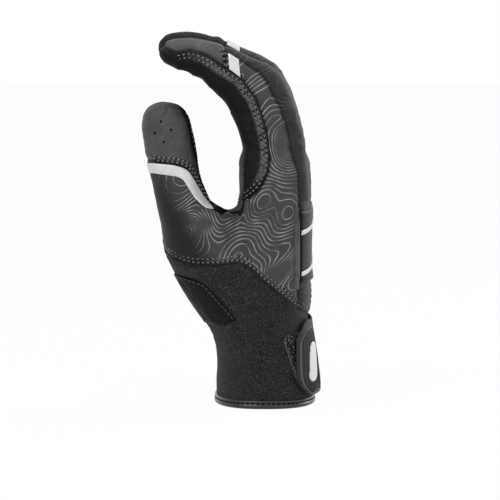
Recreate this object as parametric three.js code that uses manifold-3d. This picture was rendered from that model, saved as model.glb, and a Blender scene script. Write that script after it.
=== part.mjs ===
// Batting glove for the right hand, standing on its hem with the fingers up and curled as on a bat.
// X runs from the palm side to the back of the hand, Y from the thumb side to the little finger.
import * as THREE from "three";
import { mergeVertices } from "three/addons/utils/BufferGeometryUtils.js";
import Module from "manifold-3d";

const wasm = await Module();
wasm.setup();

// Overall sizes of the glove, in millimetres
const GLOVE_HEIGHT = 188;
const KNUCKLE_HEIGHT = 121;
const CUFF_DEPTH = 49;
const CUFF_WIDTH = 62;
const KNUCKLE_DEPTH = 32.4;
const KNUCKLE_WIDTH = 89.5;
const KNUCKLE_OFFSET = 5.2;

// Wall of the sewn shell, the gap between neighbours and how far a cutter runs past what it cuts
const WALL = 1.8;
const CLEARANCE = 0.3;
const OVERRUN = 6;

// Fingers: the middle finger's reach toward the palm side and the drop from the glove's top to its tip
const FINGER_COUNT = 4;
const FINGER_PITCH = (KNUCKLE_WIDTH - CLEARANCE) / FINGER_COUNT;
const FINGER_REACH = 58;
const FINGERTIP_DROP = 7;
const FINGER_RISE = GLOVE_HEIGHT - KNUCKLE_HEIGHT - FINGERTIP_DROP;

// Thumb: where its tip stands in front of the cuff's axis and toward the thumb side
const THUMB_HEIGHT = 153.6;
const THUMB_REACH = 50.9;
const THUMB_SIDE = 26;
const THUMB_WIDTH = 25;
const THUMB_DEPTH = 24.6;

// Hem binding round the cuff's lower edge
const HEM_HEIGHT = 6;
const HEM_LIP = 0.8;

// Leather that wraps from the palm round to the sides of the hand
const PALM_BOTTOM = 36;
const PALM_WRAP = 3.2;
const BACK_WRAP = 19;
const THENAR_SEAM_SIDE = 27;

// Pieces laid on the shell
const PATCH_THICKNESS = 1.1;
const FILM_THICKNESS = 0.4;
const PLATE_THICKNESS = 2;
const BAR_HEIGHT = 2.2;
const BAR_THICKNESS = 0.6;

// Closure strap: the sewn root, the band and the moulded tab
const STRAP_BOTTOM = 7.5;
const STRAP_TOP = 47.5;
const BAND_THICKNESS = 1.8;
const TAB_THICKNESS = 2.4;
const TAPE_THICKNESS = 1;
const EMBLEM_THICKNESS = 0.6;
const EMBLEM_HEIGHT = 17;

// The side view: pixel rows of the hem and the knuckles, the pixel column of the cuff's axis and
// the pixels that the cuff is deep
const HEM_PIXEL = 408;
const KNUCKLE_PIXEL = 166;
const AXIS_PIXEL = 262;
const CUFF_PIXELS = 98;

// Half extent of the cutters, beyond every side of the glove
const FAR = GLOVE_HEIGHT;

// Hand sections from hem to knuckles: height, then width and depth on the way from cuff to knuckles,
// then the shift toward the back of the hand, each a share; the last value is the squareness
const HAND_SHARES = [
  [0, 0, 0, 0.1, 2.4],
  [0.083, 0, 0, 0.1, 2.4],
  [0.182, -0.04, 0.06, 0.04, 2.4],
  [0.35, 0.04, 0.07, -0.26, 2.4],
  [0.455, 0.3, 0.12, 0.13, 2.5],
  [0.595, 0.68, 0.51, 0.46, 2.7],
  [0.744, 0.93, 0.78, 0.89, 2.9],
  [0.876, 1, 0.92, 1.18, 3.1],
  [0.95, 1, 1, 1, 3.2],
  [1, 1, 1, 1, 3.2],
];

// Finger sections from knuckle to tip: reach, rise, width and depth as shares, then the squareness
const FINGER_SHARES = [
  [0, 0, 1, 1, 3.2],
  [0, 0.16, 0.97, 0.93, 2.9],
  [0.055, 0.38, 0.94, 0.94, 2.6],
  [0.16, 0.62, 0.92, 0.965, 2.4],
  [0.36, 0.782, 0.9, 0.745, 2.3],
  [0.56, 0.908, 0.87, 0.61, 2.2],
  [0.77, 0.969, 0.82, 0.5, 2.1],
  [0.9, 0.983, 0.7, 0.4, 2.1],
  [0.965, 0.991, 0.5, 0.27, 2.1],
  [0.992, 0.998, 0.27, 0.13, 2.1],
  [1, 1, 0, 0, 2.1],
];

// Each finger: its place across the hand in pitches, then rise, reach and girth as shares of the middle's
const FINGERS = [
  { name: "index", acrossShare: -1.5, riseShare: 0.95, reachShare: 0.98, girthShare: 1 },
  { name: "middle", acrossShare: -0.5, riseShare: 1, reachShare: 1, girthShare: 1 },
  { name: "ring", acrossShare: 0.5, riseShare: 0.95, reachShare: 0.96, girthShare: 0.98 },
  { name: "little", acrossShare: 1.5, riseShare: 0.71, reachShare: 0.6, girthShare: 0.9 },
];

// How far the tips draw in toward the middle of the hand, as a share of their place across it
const CONVERGE_SHARE = 0.1;

// Thumb sections from inside the palm to the tip: reach, side, height, width and depth as shares
const THUMB_SHARES = [
  [0.04, 0.4, 0.26, 1.36, 1.36, 2.1],
  [0.272, 0.56, 0.351, 1.54, 1.55, 2.1],
  [0.47, 0.72, 0.455, 1.54, 1.58, 2.1],
  [0.618, 0.85, 0.559, 1.42, 1.62, 2.1],
  [0.775, 0.94, 0.65, 1.16, 1.1, 2.1],
  [0.862, 1, 0.748, 1.02, 0.98, 2.1],
  [0.911, 1, 0.839, 0.98, 1.02, 2.1],
  [0.953, 1, 0.917, 0.92, 1, 2.1],
  [0.977, 1, 0.962, 0.68, 0.8, 2.1],
  [0.99, 1, 0.988, 0.37, 0.45, 2.1],
  [1, 1, 1, 0, 0, 2.1],
];

// Places along the tubes, as shares of their length from base to tip
const TIP_CAP_SHARE = 0.465;
const TIP_END_SHARE = 0.9;
const STRIPE_SHARES = [0.405, 0.45];
const THUMB_BASE_SHARE = 0.4;
const THUMB_CAP_SHARE = 0.6;
const PLATE_SHARES = [0.471, 0.747];
const BAR_SHARES = [0.57, 0.69];
const WRIST_SHARE = 0.44;
const GAP_SHARE = 0.004;
const CAP_ROOM_SHARE = GAP_SHARE * 2;
const THUMB_STRIPE_SHARE = 0.125;

// Seam angles round the tubes, in degrees from the back of the hand toward the little finger
const FRONT_SEAM_ANGLE = 125;
const INDEX_SEAM_ANGLE = 95;
const BACK_SEAM_ANGLE = 50;
const STRIPE_EDGE_ANGLE = 72;
const THUMB_NEAR_SEAM_ANGLE = -24;
const THUMB_FAR_SEAM_ANGLE = 100;
const PLATE_EDGE_ANGLE = 42;
const RIDGE_EDGE_ANGLE = 50;
const STRAP_ROOT_ANGLE = 100;
const ANCHOR_END_ANGLE = 122;
const TAB_ROOT_ANGLE = -17;
const TAB_END_ANGLE = -60;
const EMBLEM_ANGLES = [-42, -26];
const SEAM_GAP_ANGLE = 2;
const HALF_TURN_ANGLE = 180;
const FULL_TURN_ANGLE = 360;

// Outlines in the side view, in pixels
const CUFF_SEAM_PIXELS = [
  [100, 240], [162, 245], [170, 254], [185, 262], [200, 268], [240, 265],
  [255, 270], [270, 283], [290, 296], [303, 303], [360, 310],
];
const PALM_SEAM_PIXELS = [
  [269, 172], [263, 186], [250, 197], [240, 205], [222, 212], [209, 203], [196, 192], [186, 180],
];
const HEEL_PIXELS = [[120, 262], [180, 269], [201, 275], [207, 281], [237, 314], [205, 321], [120, 321]];
const THUMB_STRIPE_PIXELS = [
  [120, 156], [179, 159], [195, 178], [213, 200], [209, 206], [191, 187], [177, 168], [120, 165],
];
const TAB_PIXELS = [[298, 338], [312, 322], [340, 316], [340, 398], [312, 394], [298, 382]];
const HOOK_PIXELS = [[299, 342], [311, 330], [330, 326], [330, 390], [311, 388], [299, 378]];
const LOOP_PIXELS = [[284, 340], [302, 330], [330, 326], [330, 390], [302, 388]];

// Steps of the meshes along and round the tubes and their panels
const HAND_MESH = { steps: 16, sides: 28 };
const THUMB_MESH = { steps: 14, sides: 16 };
const THUMB_PAD_MESH = { steps: 9, sides: 5 };
const THUMB_BACK_MESH = { steps: 3, sides: 11 };
const THUMB_CAP_MESH = { steps: 8, sides: 16 };
const FINGER_CAP_MESH = { steps: 9, sides: 14 };
const FINGER_FRONT_MESH = { steps: 12, sides: 5 };
const FINGER_BACK_MESH = { steps: 6, sides: 4 };
const FINGER_SIDE_MESH = { steps: 6, sides: 3 };
const STRIPE_MESH = { steps: 1, sides: 8 };
const PLATE_MESH = { steps: 5, sides: 10 };
const RIDGE_MESH = { steps: 5, sides: 2 };
const BAR_MESH = { steps: 1, sides: 6 };
const BAND_MESH = { steps: 6, sides: 12 };

// Smallest step for slopes along a tube, and the distance under which two vertices are one
const SLOPE_STEP_SHARE = 0.001;
const LEAN_SHARES = [0.4, 0.75];
const WELD = 1e-4;

const FINISHES = {
  palm_leather: { color: 0x17181a, roughness: 0.5, metalness: 0 },
  tip_leather: { color: 0x4b4c4e, roughness: 0.55, metalness: 0 },
  stretch_fabric: { color: 0x26272a, roughness: 0.85, metalness: 0 },
  printed_fabric: { color: 0x38393b, roughness: 0.7, metalness: 0 },
  neoprene: { color: 0x1c1d1f, roughness: 0.9, metalness: 0 },
  silver_film: { color: 0xd4d5d6, roughness: 0.35, metalness: 0.4 },
  moulded_rubber: { color: 0x222326, roughness: 0.6, metalness: 0 },
  binding: { color: 0x101113, roughness: 0.3, metalness: 0 },
  hook_loop: { color: 0x202123, roughness: 0.95, metalness: 0 },
  white_rubber: { color: 0xe9e9ea, roughness: 0.5, metalness: 0 },
};

const glove = new THREE.Group();

// A value between two others
function between(low, high, share) {
  return low + (high - low) * share;
}

function half(size) {
  return size / 2;
}

// The slope of each value at each row: the harmonic mean of the two steps beside it, so that
// no curve swings past its rows, and zero where the steps turn back
function rowSlopes(rows) {
  return rows.map((row, place) => row.map((value, column) => {
    const behind = place > 0 ? value - rows[place - 1][column] : null;
    const ahead = place < rows.length - 1 ? rows[place + 1][column] - value : null;
    if (behind === null || ahead === null) {
      return behind ?? ahead;
    }
    return behind * ahead > 0 ? (2 * behind * ahead) / (behind + ahead) : 0;
  }));
}

// A value on the smooth curve between two rows, from its values and slopes there
function smooth(low, high, lowSlope, highSlope, share) {
  const square = share * share;
  const cube = square * share;
  return low * (2 * cube - 3 * square + 1) + lowSlope * (cube - 2 * square + share)
    + high * (3 * square - 2 * cube) + highSlope * (cube - square);
}

// A tube through rows of centre x, y, z, half width, half depth and squareness.
// A section is a squircle: its side axis lies along the hand's width, its back axis points off the palm.
function makeTube(rows) {
  const slopes = rowSlopes(rows);

  function rowAt(share) {
    const place = share * (rows.length - 1);
    const first = Math.min(Math.max(Math.floor(place), 0), rows.length - 2);
    return rows[first].map((value, column) => smooth(
      value, rows[first + 1][column], slopes[first][column], slopes[first + 1][column], place - first));
  }

  function centre(share) {
    const row = rowAt(share);
    return new THREE.Vector3(row[0], row[1], row[2]);
  }

  function along(share) {
    const ahead = centre(Math.min(share + SLOPE_STEP_SHARE, 1));
    return ahead.sub(centre(Math.max(share - SLOPE_STEP_SHARE, 0))).normalize();
  }

  function skin(share, angle) {
    const row = rowAt(share);
    const forward = along(share);
    const side = new THREE.Vector3(0, 1, 0).addScaledVector(forward, -forward.y).normalize();
    const back = new THREE.Vector3().crossVectors(side, forward);
    const across = Math.sin(angle);
    const outward = Math.cos(angle);
    const power = 2 / row[5];
    return new THREE.Vector3(row[0], row[1], row[2])
      .addScaledVector(side, Math.max(row[3], 0) * Math.sign(across) * Math.abs(across) ** power)
      .addScaledVector(back, Math.max(row[4], 0) * Math.sign(outward) * Math.abs(outward) ** power);
  }

  // The point that stands off the skin by a distance: within the section's plane along the tube,
  // and along the skin's own normal where a tip closes
  function point(share, angle, offset) {
    const spot = skin(share, angle);
    const forward = along(share);
    if (rowAt(share)[3] < WELD) {
      return spot.addScaledVector(forward, offset);
    }
    const turn = skin(share, angle + SLOPE_STEP_SHARE).sub(skin(share, angle - SLOPE_STEP_SHARE));
    const ahead = skin(Math.min(share + SLOPE_STEP_SHARE, 1), angle);
    const rise = ahead.sub(skin(Math.max(share - SLOPE_STEP_SHARE, 0), angle));
    const normal = turn.cross(rise).normalize();
    const lean = normal.dot(forward);
    const level = normal.clone().addScaledVector(forward, -lean);
    level.divideScalar(Math.max(1 - lean * lean, WELD));
    const closing = THREE.MathUtils.smoothstep(Math.abs(lean), LEAN_SHARES[0], LEAN_SHARES[1]);
    return spot.addScaledVector(level.lerp(normal, closing), offset);
  }

  return { centre, along, point };
}

// A solid from loose points and triangles, with equal points made one
function weld(points, triangles) {
  const loose = new THREE.BufferGeometry();
  const flat = points.flatMap((point) => [point.x, point.y, point.z]);
  loose.setAttribute("position", new THREE.Float32BufferAttribute(flat, 3));
  loose.setIndex(triangles.flat());
  return toSolid(loose);
}

function toSolid(geometry) {
  const bare = geometry.clone();
  bare.deleteAttribute("normal");
  bare.deleteAttribute("uv");
  const merged = mergeVertices(bare, WELD);
  const index = merged.index.array;
  const kept = [];
  for (let corner = 0; corner < index.length; corner += 3) {
    const [a, b, c] = [index[corner], index[corner + 1], index[corner + 2]];
    if (a !== b && b !== c && c !== a) {
      kept.push(a, b, c);
    }
  }
  const mesh = new wasm.Mesh({
    numProp: 3,
    vertProperties: new Float32Array(merged.attributes.position.array),
    triVerts: new Uint32Array(kept),
  });
  return new wasm.Manifold(mesh);
}

function toGeometry(solid) {
  const mesh = solid.getMesh();
  const geometry = new THREE.BufferGeometry();
  geometry.setAttribute("position", new THREE.Float32BufferAttribute(mesh.vertProperties, 3));
  geometry.setIndex(new THREE.Uint32BufferAttribute(mesh.triVerts, 1));
  geometry.computeVertexNormals();
  return geometry;
}

// Two triangles for each cell of a grid of points laid out row by row
function gridTriangles(rowCount, columnCount, offset, flipped) {
  const triangles = [];
  for (let row = 0; row < rowCount; row += 1) {
    for (let column = 0; column < columnCount; column += 1) {
      const low = offset + row * (columnCount + 1) + column;
      const high = low + columnCount + 1;
      if (flipped) {
        triangles.push([low, high + 1, low + 1], [low, high, high + 1]);
      } else {
        triangles.push([low, low + 1, high + 1], [low, high + 1, high]);
      }
    }
  }
  return triangles;
}

// A panel of a tube's wall between two shares of its length and two angles, in degrees
function panel(tube, options) {
  const { from, to, steps, sides, outer = 0, inner = -WALL } = options;
  const { start = -HALF_TURN_ANGLE, end = HALF_TURN_ANGLE } = options;
  const points = [];
  for (const offset of [outer, inner]) {
    for (let step = 0; step <= steps; step += 1) {
      for (let side = 0; side <= sides; side += 1) {
        const angle = THREE.MathUtils.degToRad(between(start, end, side / sides));
        points.push(tube.point(between(from, to, step / steps), angle, offset));
      }
    }
  }
  const under = (steps + 1) * (sides + 1);
  const triangles = [...gridTriangles(steps, sides, 0, false), ...gridTriangles(steps, sides, under, true)];
  const last = steps * (sides + 1);
  for (let side = 0; side < sides; side += 1) {
    triangles.push([side, under + side + 1, side + 1], [side, under + side, under + side + 1]);
    const low = last + side;
    triangles.push([low, low + 1, under + low + 1], [low, under + low + 1, under + low]);
  }
  if (end - start < FULL_TURN_ANGLE) {
    for (let step = 0; step < steps; step += 1) {
      const low = step * (sides + 1);
      const high = low + sides + 1;
      triangles.push([low, high, under + high], [low, under + high, under + low]);
      const [right, rightHigh] = [low + sides, high + sides];
      triangles.push([right, under + rightHigh, rightHigh], [right, under + right, under + rightHigh]);
    }
  }
  return weld(points, triangles);
}

// The whole tube as a solid, grown by an offset and run on past its ends where an overrun is given
function tubeSolid(tube, { from = 0, to = 1, offset = 0, before = 0, after = 0, steps, sides }) {
  const places = [];
  for (let step = 0; step <= steps; step += 1) {
    places.push({ share: between(from, to, step / steps), shift: 0 });
  }
  if (before > 0) {
    places.unshift({ share: from, shift: -before });
  }
  if (after > 0) {
    places.push({ share: to, shift: after });
  }
  const points = [];
  for (const { share, shift } of places) {
    for (let side = 0; side <= sides; side += 1) {
      const angle = THREE.MathUtils.degToRad(between(-HALF_TURN_ANGLE, HALF_TURN_ANGLE, side / sides));
      points.push(tube.point(share, angle, offset).addScaledVector(tube.along(share), shift));
    }
  }
  const rows = places.length - 1;
  const triangles = gridTriangles(rows, sides, 0, false);
  const [bottom, top] = [points.length, points.length + 1];
  const [first, final] = [places[0], places[rows]];
  points.push(tube.centre(first.share).addScaledVector(tube.along(first.share), first.shift));
  const tipOffset = to === 1 && after === 0 ? offset : 0;
  points.push(tube.centre(final.share).addScaledVector(tube.along(final.share), final.shift + tipOffset));
  for (let side = 0; side < sides; side += 1) {
    const high = rows * (sides + 1) + side;
    triangles.push([side + 1, side, bottom], [high, high + 1, top]);
  }
  return weld(points, triangles);
}

// A point of the side view, from the cuff's axis and the hem: its depth goes by the cuff's depth
// and its height by the height of the knuckles
function fromPixel([column, row]) {
  const depth = (column - AXIS_PIXEL) * (CUFF_DEPTH / CUFF_PIXELS);
  const height = (HEM_PIXEL - row) * (KNUCKLE_HEIGHT / (HEM_PIXEL - KNUCKLE_PIXEL));
  return new THREE.Vector2(depth, height);
}

// A side-view outline carried across the hand's width from one side to the other
function sidePrism(outline, nearSide, farSide) {
  const geometry = new THREE.ExtrudeGeometry(new THREE.Shape(outline), {
    depth: farSide - nearSide,
    bevelEnabled: false,
  });
  geometry.rotateX(Math.PI / 2);
  geometry.translate(0, farSide, 0);
  return toSolid(geometry);
}

function block(low, high) {
  const size = new THREE.Vector3().subVectors(high, low);
  const geometry = new THREE.BoxGeometry(size.x, size.y, size.z);
  geometry.translate((low.x + high.x) / 2, (low.y + high.y) / 2, (low.z + high.z) / 2);
  return toSolid(geometry);
}

// The largest of the bodies that a cut leaves
function mainBody(solid) {
  return solid.decompose().sort((a, b) => b.volume() - a.volume())[0];
}

function addNode(name, finish, solid, parent = glove) {
  const mesh = new THREE.Mesh(toGeometry(mainBody(solid)), new THREE.MeshStandardMaterial(FINISHES[finish]));
  mesh.name = name;
  parent.add(mesh);
}

function handTube() {
  return makeTube(HAND_SHARES.map(([height, width, depth, shift, squareness]) => [
    KNUCKLE_OFFSET * shift,
    0,
    KNUCKLE_HEIGHT * height,
    between(CUFF_WIDTH, KNUCKLE_WIDTH, width) / 2,
    between(CUFF_DEPTH, KNUCKLE_DEPTH, depth) / 2,
    squareness,
  ]));
}

function thumbTube() {
  return makeTube(THUMB_SHARES.map(([reach, side, height, width, depth, squareness]) => [
    -THUMB_REACH * reach,
    -THUMB_SIDE * side,
    THUMB_HEIGHT * height,
    (THUMB_WIDTH * width) / 2,
    (THUMB_DEPTH * depth) / 2,
    squareness,
  ]));
}

function fingerTube(finger) {
  const across = finger.acrossShare * FINGER_PITCH;
  return makeTube(FINGER_SHARES.map(([reach, rise, width, depth, squareness]) => [
    KNUCKLE_OFFSET - FINGER_REACH * finger.reachShare * reach,
    across * (1 - CONVERGE_SHARE * reach),
    KNUCKLE_HEIGHT + CLEARANCE + FINGER_RISE * finger.riseShare * rise,
    ((FINGER_PITCH - CLEARANCE) / 2) * width * between(1, finger.girthShare, rise),
    (KNUCKLE_DEPTH / 2) * depth * between(1, finger.girthShare, rise),
    squareness,
  ]));
}

const hand = handTube();
const thumb = thumbTube();

// The hand and the thumb's root as one solid, grown by an offset
function palmSolid(offset, overrun) {
  const palm = tubeSolid(hand, {
    ...HAND_MESH, offset, before: overrun, after: overrun,
  });
  return palm.add(tubeSolid(thumb, { ...THUMB_MESH, offset }));
}

// Everything above the seam between the cuff and the hand, or below it, seen from the side
function seamPrism(above, shift) {
  const edge = CUFF_SEAM_PIXELS.map(fromPixel);
  const limit = above ? KNUCKLE_HEIGHT + FAR : 0;
  const outline = edge.map((point) => new THREE.Vector2(point.x, point.y + shift));
  outline.push(new THREE.Vector2(edge[edge.length - 1].x, limit), new THREE.Vector2(edge[0].x, limit));
  return sidePrism(outline, -FAR, FAR);
}

// The room of the palm leather: the palm's face, and its wrap round the thumb side of the hand
function palmRoom(grow) {
  const seam = PALM_SEAM_PIXELS.map(fromPixel);
  const wrap = [
    new THREE.Vector2(PALM_WRAP, KNUCKLE_HEIGHT + OVERRUN),
    ...seam,
    new THREE.Vector2(-THUMB_REACH, KNUCKLE_HEIGHT + OVERRUN),
  ];
  const shifted = wrap.map((point) => new THREE.Vector2(point.x + grow, point.y - grow));
  const face = block(
    new THREE.Vector3(-FAR, -THENAR_SEAM_SIDE - grow, PALM_BOTTOM - grow),
    new THREE.Vector3(PALM_WRAP + grow, FAR, KNUCKLE_HEIGHT + OVERRUN),
  );
  return face.add(sidePrism(shifted, -FAR, OVERRUN - THENAR_SEAM_SIDE));
}

function addHand() {
  const upperThumb = tubeSolid(thumb, {
    ...THUMB_MESH, from: THUMB_BASE_SHARE - CAP_ROOM_SHARE, offset: OVERRUN,
  });
  const shell = palmSolid(0, 0).subtract(palmSolid(-WALL, OVERRUN)).subtract(upperThumb);
  const gap = half(CLEARANCE);
  const upper = shell.intersect(seamPrism(true, gap));
  const palm = palmRoom(-gap);
  const clearOfPalm = palmRoom(gap);
  addNode("palm_leather", "palm_leather", shell.intersect(palm));

  const sides = upper.subtract(clearOfPalm);
  const backFace = new THREE.Vector3(BACK_WRAP + gap, -FAR, 0);
  addNode("hand_back_panel", "stretch_fabric",
    sides.intersect(block(backFace, new THREE.Vector3(FAR, FAR, FAR))));
  const front = sides.intersect(block(
    new THREE.Vector3(-FAR, -FAR, 0), new THREE.Vector3(BACK_WRAP - gap, FAR, FAR)));
  addNode("printed_side_panel", "printed_fabric",
    front.intersect(block(new THREE.Vector3(-FAR, -FAR, 0), new THREE.Vector3(FAR, 0, FAR))));
  addNode("ulnar_side_panel", "stretch_fabric",
    front.intersect(block(new THREE.Vector3(-FAR, 0, 0), new THREE.Vector3(FAR, FAR, FAR))));

  const hemTop = new THREE.Vector3(FAR, FAR, HEM_HEIGHT + CLEARANCE);
  const sleeve = shell.intersect(seamPrism(false, -gap)).subtract(clearOfPalm);
  addNode("cuff_sleeve", "neoprene", sleeve.subtract(block(new THREE.Vector3(-FAR, -FAR, -FAR), hemTop)));

  const bore = { ...HAND_MESH, offset: -WALL - HEM_LIP, before: OVERRUN, after: OVERRUN };
  const binding = tubeSolid(hand, { ...HAND_MESH, offset: HEM_LIP })
    .subtract(tubeSolid(hand, bore))
    .intersect(block(new THREE.Vector3(-FAR, -FAR, 0), new THREE.Vector3(FAR, FAR, HEM_HEIGHT)));
  addNode("hem_binding", "binding", binding);
}

// A thin layer that lies on the hand and the thumb's root inside a side-view outline
function palmLayer(pixels, thickness, nearSide, farSide) {
  const layer = palmSolid(CLEARANCE + thickness, 0).subtract(palmSolid(CLEARANCE, 0));
  return layer.intersect(sidePrism(pixels.map(fromPixel), nearSide, farSide));
}

function addThumb() {
  const gap = half(SEAM_GAP_ANGLE);
  const cap = { ...THUMB_CAP_MESH, from: THUMB_CAP_SHARE + GAP_SHARE, to: 1 };
  const pad = {
    ...THUMB_PAD_MESH, from: THUMB_BASE_SHARE, to: TIP_END_SHARE,
    start: THUMB_NEAR_SEAM_ANGLE + gap, end: THUMB_FAR_SEAM_ANGLE - gap,
  };
  const padRoom = panel(thumb, {
    ...pad, from: THUMB_CAP_SHARE - GAP_SHARE, to: TIP_END_SHARE + CAP_ROOM_SHARE,
    start: THUMB_NEAR_SEAM_ANGLE - gap, end: THUMB_FAR_SEAM_ANGLE + gap, outer: WALL, inner: -WALL - WALL,
  });
  addNode("thumb_front_leather", "palm_leather", panel(thumb, pad));
  addNode("thumb_tip_cap", "tip_leather", panel(thumb, cap).subtract(padRoom));
  addNode("thumb_back_panel", "stretch_fabric", panel(thumb, {
    ...THUMB_BACK_MESH, from: THUMB_BASE_SHARE, to: THUMB_CAP_SHARE - GAP_SHARE,
    start: THUMB_FAR_SEAM_ANGLE + gap, end: FULL_TURN_ANGLE + THUMB_NEAR_SEAM_ANGLE - gap,
  }));
  addNode("thumb_stripe", "silver_film",
    palmLayer(THUMB_STRIPE_PIXELS, FILM_THICKNESS, -FAR, -THUMB_SIDE + THUMB_WIDTH * THUMB_STRIPE_SHARE));
  addNode("heel_patch", "palm_leather", palmLayer(HEEL_PIXELS, PATCH_THICKNESS, -FAR, 0));
}

// One of a finger's side strips, between the front leather and the back panel
function sideStrip(tube, start, end) {
  const gap = half(SEAM_GAP_ANGLE);
  return panel(tube, {
    ...FINGER_SIDE_MESH, from: 0, to: TIP_CAP_SHARE - GAP_SHARE, start: start + gap, end: end - gap,
  });
}

function addFinger(finger) {
  const tube = fingerTube(finger);
  const gap = half(SEAM_GAP_ANGLE);
  const isIndex = finger.name === "index";
  const isLittle = finger.name === "little";
  const nearSeam = isIndex ? INDEX_SEAM_ANGLE : FRONT_SEAM_ANGLE;
  const front = {
    ...FINGER_FRONT_MESH, from: 0, to: TIP_END_SHARE,
    start: FRONT_SEAM_ANGLE + gap, end: FULL_TURN_ANGLE - nearSeam - gap,
  };
  const frontRoom = panel(tube, {
    ...front, from: TIP_CAP_SHARE - GAP_SHARE, to: TIP_END_SHARE + CAP_ROOM_SHARE,
    start: FRONT_SEAM_ANGLE - gap, end: FULL_TURN_ANGLE - nearSeam + gap, outer: WALL, inner: -WALL - WALL,
  });
  const cap = panel(tube, { ...FINGER_CAP_MESH, from: TIP_CAP_SHARE, to: 1 });
  addNode(`${finger.name}_front_leather`, "palm_leather", panel(tube, front));
  addNode(`${finger.name}_tip_cap`, isIndex ? "tip_leather" : "palm_leather", cap.subtract(frontRoom));
  addNode(`${finger.name}_back_panel`, "stretch_fabric", panel(tube, {
    ...FINGER_BACK_MESH, from: 0, to: TIP_CAP_SHARE - GAP_SHARE,
    start: -BACK_SEAM_ANGLE + gap, end: BACK_SEAM_ANGLE - gap,
  }));
  const radialName = isIndex ? "index_side_panel" : `${finger.name}_radial_fourchette`;
  const ulnarName = isLittle ? "little_side_panel" : `${finger.name}_ulnar_fourchette`;
  const radialFinish = isIndex ? "printed_fabric" : "stretch_fabric";
  addNode(radialName, radialFinish, sideStrip(tube, -nearSeam, -BACK_SEAM_ANGLE));
  addNode(ulnarName, "stretch_fabric", sideStrip(tube, BACK_SEAM_ANGLE, FRONT_SEAM_ANGLE));
  addNode(`${finger.name}_stripe`, "silver_film", panel(tube, {
    ...STRIPE_MESH, from: STRIPE_SHARES[0], to: STRIPE_SHARES[1],
    start: -STRIPE_EDGE_ANGLE, end: STRIPE_EDGE_ANGLE, outer: CLEARANCE + FILM_THICKNESS, inner: CLEARANCE,
  }));
}

// The moulded plate on the back of the hand, the padded ridge at its edge and its two bars
function addBackPlate() {
  const [low, high] = PLATE_SHARES;
  const top = CLEARANCE + PLATE_THICKNESS;
  const layer = { from: low, to: high, outer: top, inner: CLEARANCE };
  addNode("back_plate", "moulded_rubber", panel(hand, {
    ...layer, ...PLATE_MESH, start: -PLATE_EDGE_ANGLE, end: PLATE_EDGE_ANGLE,
  }));
  addNode("ridge_pad", "stretch_fabric", panel(hand, {
    ...layer, ...RIDGE_MESH, start: -RIDGE_EDGE_ANGLE, end: -PLATE_EDGE_ANGLE - half(SEAM_GAP_ANGLE),
  }));
  for (const [order, place] of BAR_SHARES.entries()) {
    const reach = half(BAR_HEIGHT) / KNUCKLE_HEIGHT;
    addNode(order === 0 ? "lower_bar" : "upper_bar", "silver_film", panel(hand, {
      ...BAR_MESH, from: place - reach, to: place + reach,
      start: half(-PLATE_EDGE_ANGLE), end: half(PLATE_EDGE_ANGLE),
      outer: top + CLEARANCE + BAR_THICKNESS, inner: top + CLEARANCE,
    }));
  }
}

// A band round the wrist between two angles, standing off the sleeve by an offset
function wristBand(start, end, offset, thickness) {
  const band = panel(hand, {
    from: 0, to: WRIST_SHARE, start, end, outer: offset + thickness, inner: offset, ...BAND_MESH,
  });
  return band.intersect(block(
    new THREE.Vector3(-FAR, -FAR, STRAP_BOTTOM), new THREE.Vector3(FAR, FAR, STRAP_TOP)));
}

function addStrap() {
  const near = [-FAR, 0];
  const tapeTop = CLEARANCE + TAPE_THICKNESS;
  const hookTop = tapeTop + CLEARANCE + TAPE_THICKNESS;
  const bandBottom = tapeTop + CLEARANCE;
  const tabTop = hookTop + CLEARANCE + TAB_THICKNESS;
  const gap = half(SEAM_GAP_ANGLE);
  addNode("strap_anchor", "neoprene",
    wristBand(STRAP_ROOT_ANGLE + gap, ANCHOR_END_ANGLE, CLEARANCE, BAND_THICKNESS));
  addNode("strap_band", "neoprene",
    wristBand(TAB_ROOT_ANGLE + gap, STRAP_ROOT_ANGLE - gap, bandBottom, BAND_THICKNESS));
  addNode("strap_tab", "moulded_rubber",
    wristBand(TAB_END_ANGLE, TAB_ROOT_ANGLE - gap, hookTop + CLEARANCE, TAB_THICKNESS)
      .intersect(sidePrism(TAB_PIXELS.map(fromPixel), ...near)));
  addNode("hook_patch", "hook_loop",
    wristBand(TAB_END_ANGLE, TAB_ROOT_ANGLE - gap, bandBottom, TAPE_THICKNESS)
      .intersect(sidePrism(HOOK_PIXELS.map(fromPixel), ...near)));
  addNode("loop_patch", "hook_loop",
    wristBand(TAB_END_ANGLE - BACK_SEAM_ANGLE, TAB_ROOT_ANGLE, CLEARANCE, TAPE_THICKNESS)
      .intersect(sidePrism(LOOP_PIXELS.map(fromPixel), ...near)));
  const middle = half(STRAP_TOP + STRAP_BOTTOM);
  addNode("tab_emblem", "white_rubber",
    wristBand(EMBLEM_ANGLES[0], EMBLEM_ANGLES[1], tabTop + CLEARANCE, EMBLEM_THICKNESS)
      .intersect(block(
        new THREE.Vector3(-FAR, -FAR, middle - half(EMBLEM_HEIGHT)),
        new THREE.Vector3(FAR, FAR, middle + half(EMBLEM_HEIGHT)))));
}

addHand();
addThumb();
FINGERS.forEach(addFinger);
addBackPlate();
addStrap();

// The origin lies on the hem's plane, under the middle of the whole glove
const bounds = new THREE.Box3().setFromObject(glove);
glove.position.set(-(bounds.min.x + bounds.max.x) / 2, -(bounds.min.y + bounds.max.y) / 2, -bounds.min.z);

export default glove;
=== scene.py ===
"""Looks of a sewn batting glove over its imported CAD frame.

The glove's skin is one smooth field worked out from the same tubes as the solids: hand, thumb and
four fingers. Its zero surface is meshed once, and the sewn panels are cut from it along seam lines.
Everything that lies on the skin is a grid of two parameters laid on the same field.
"""

import math

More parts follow.
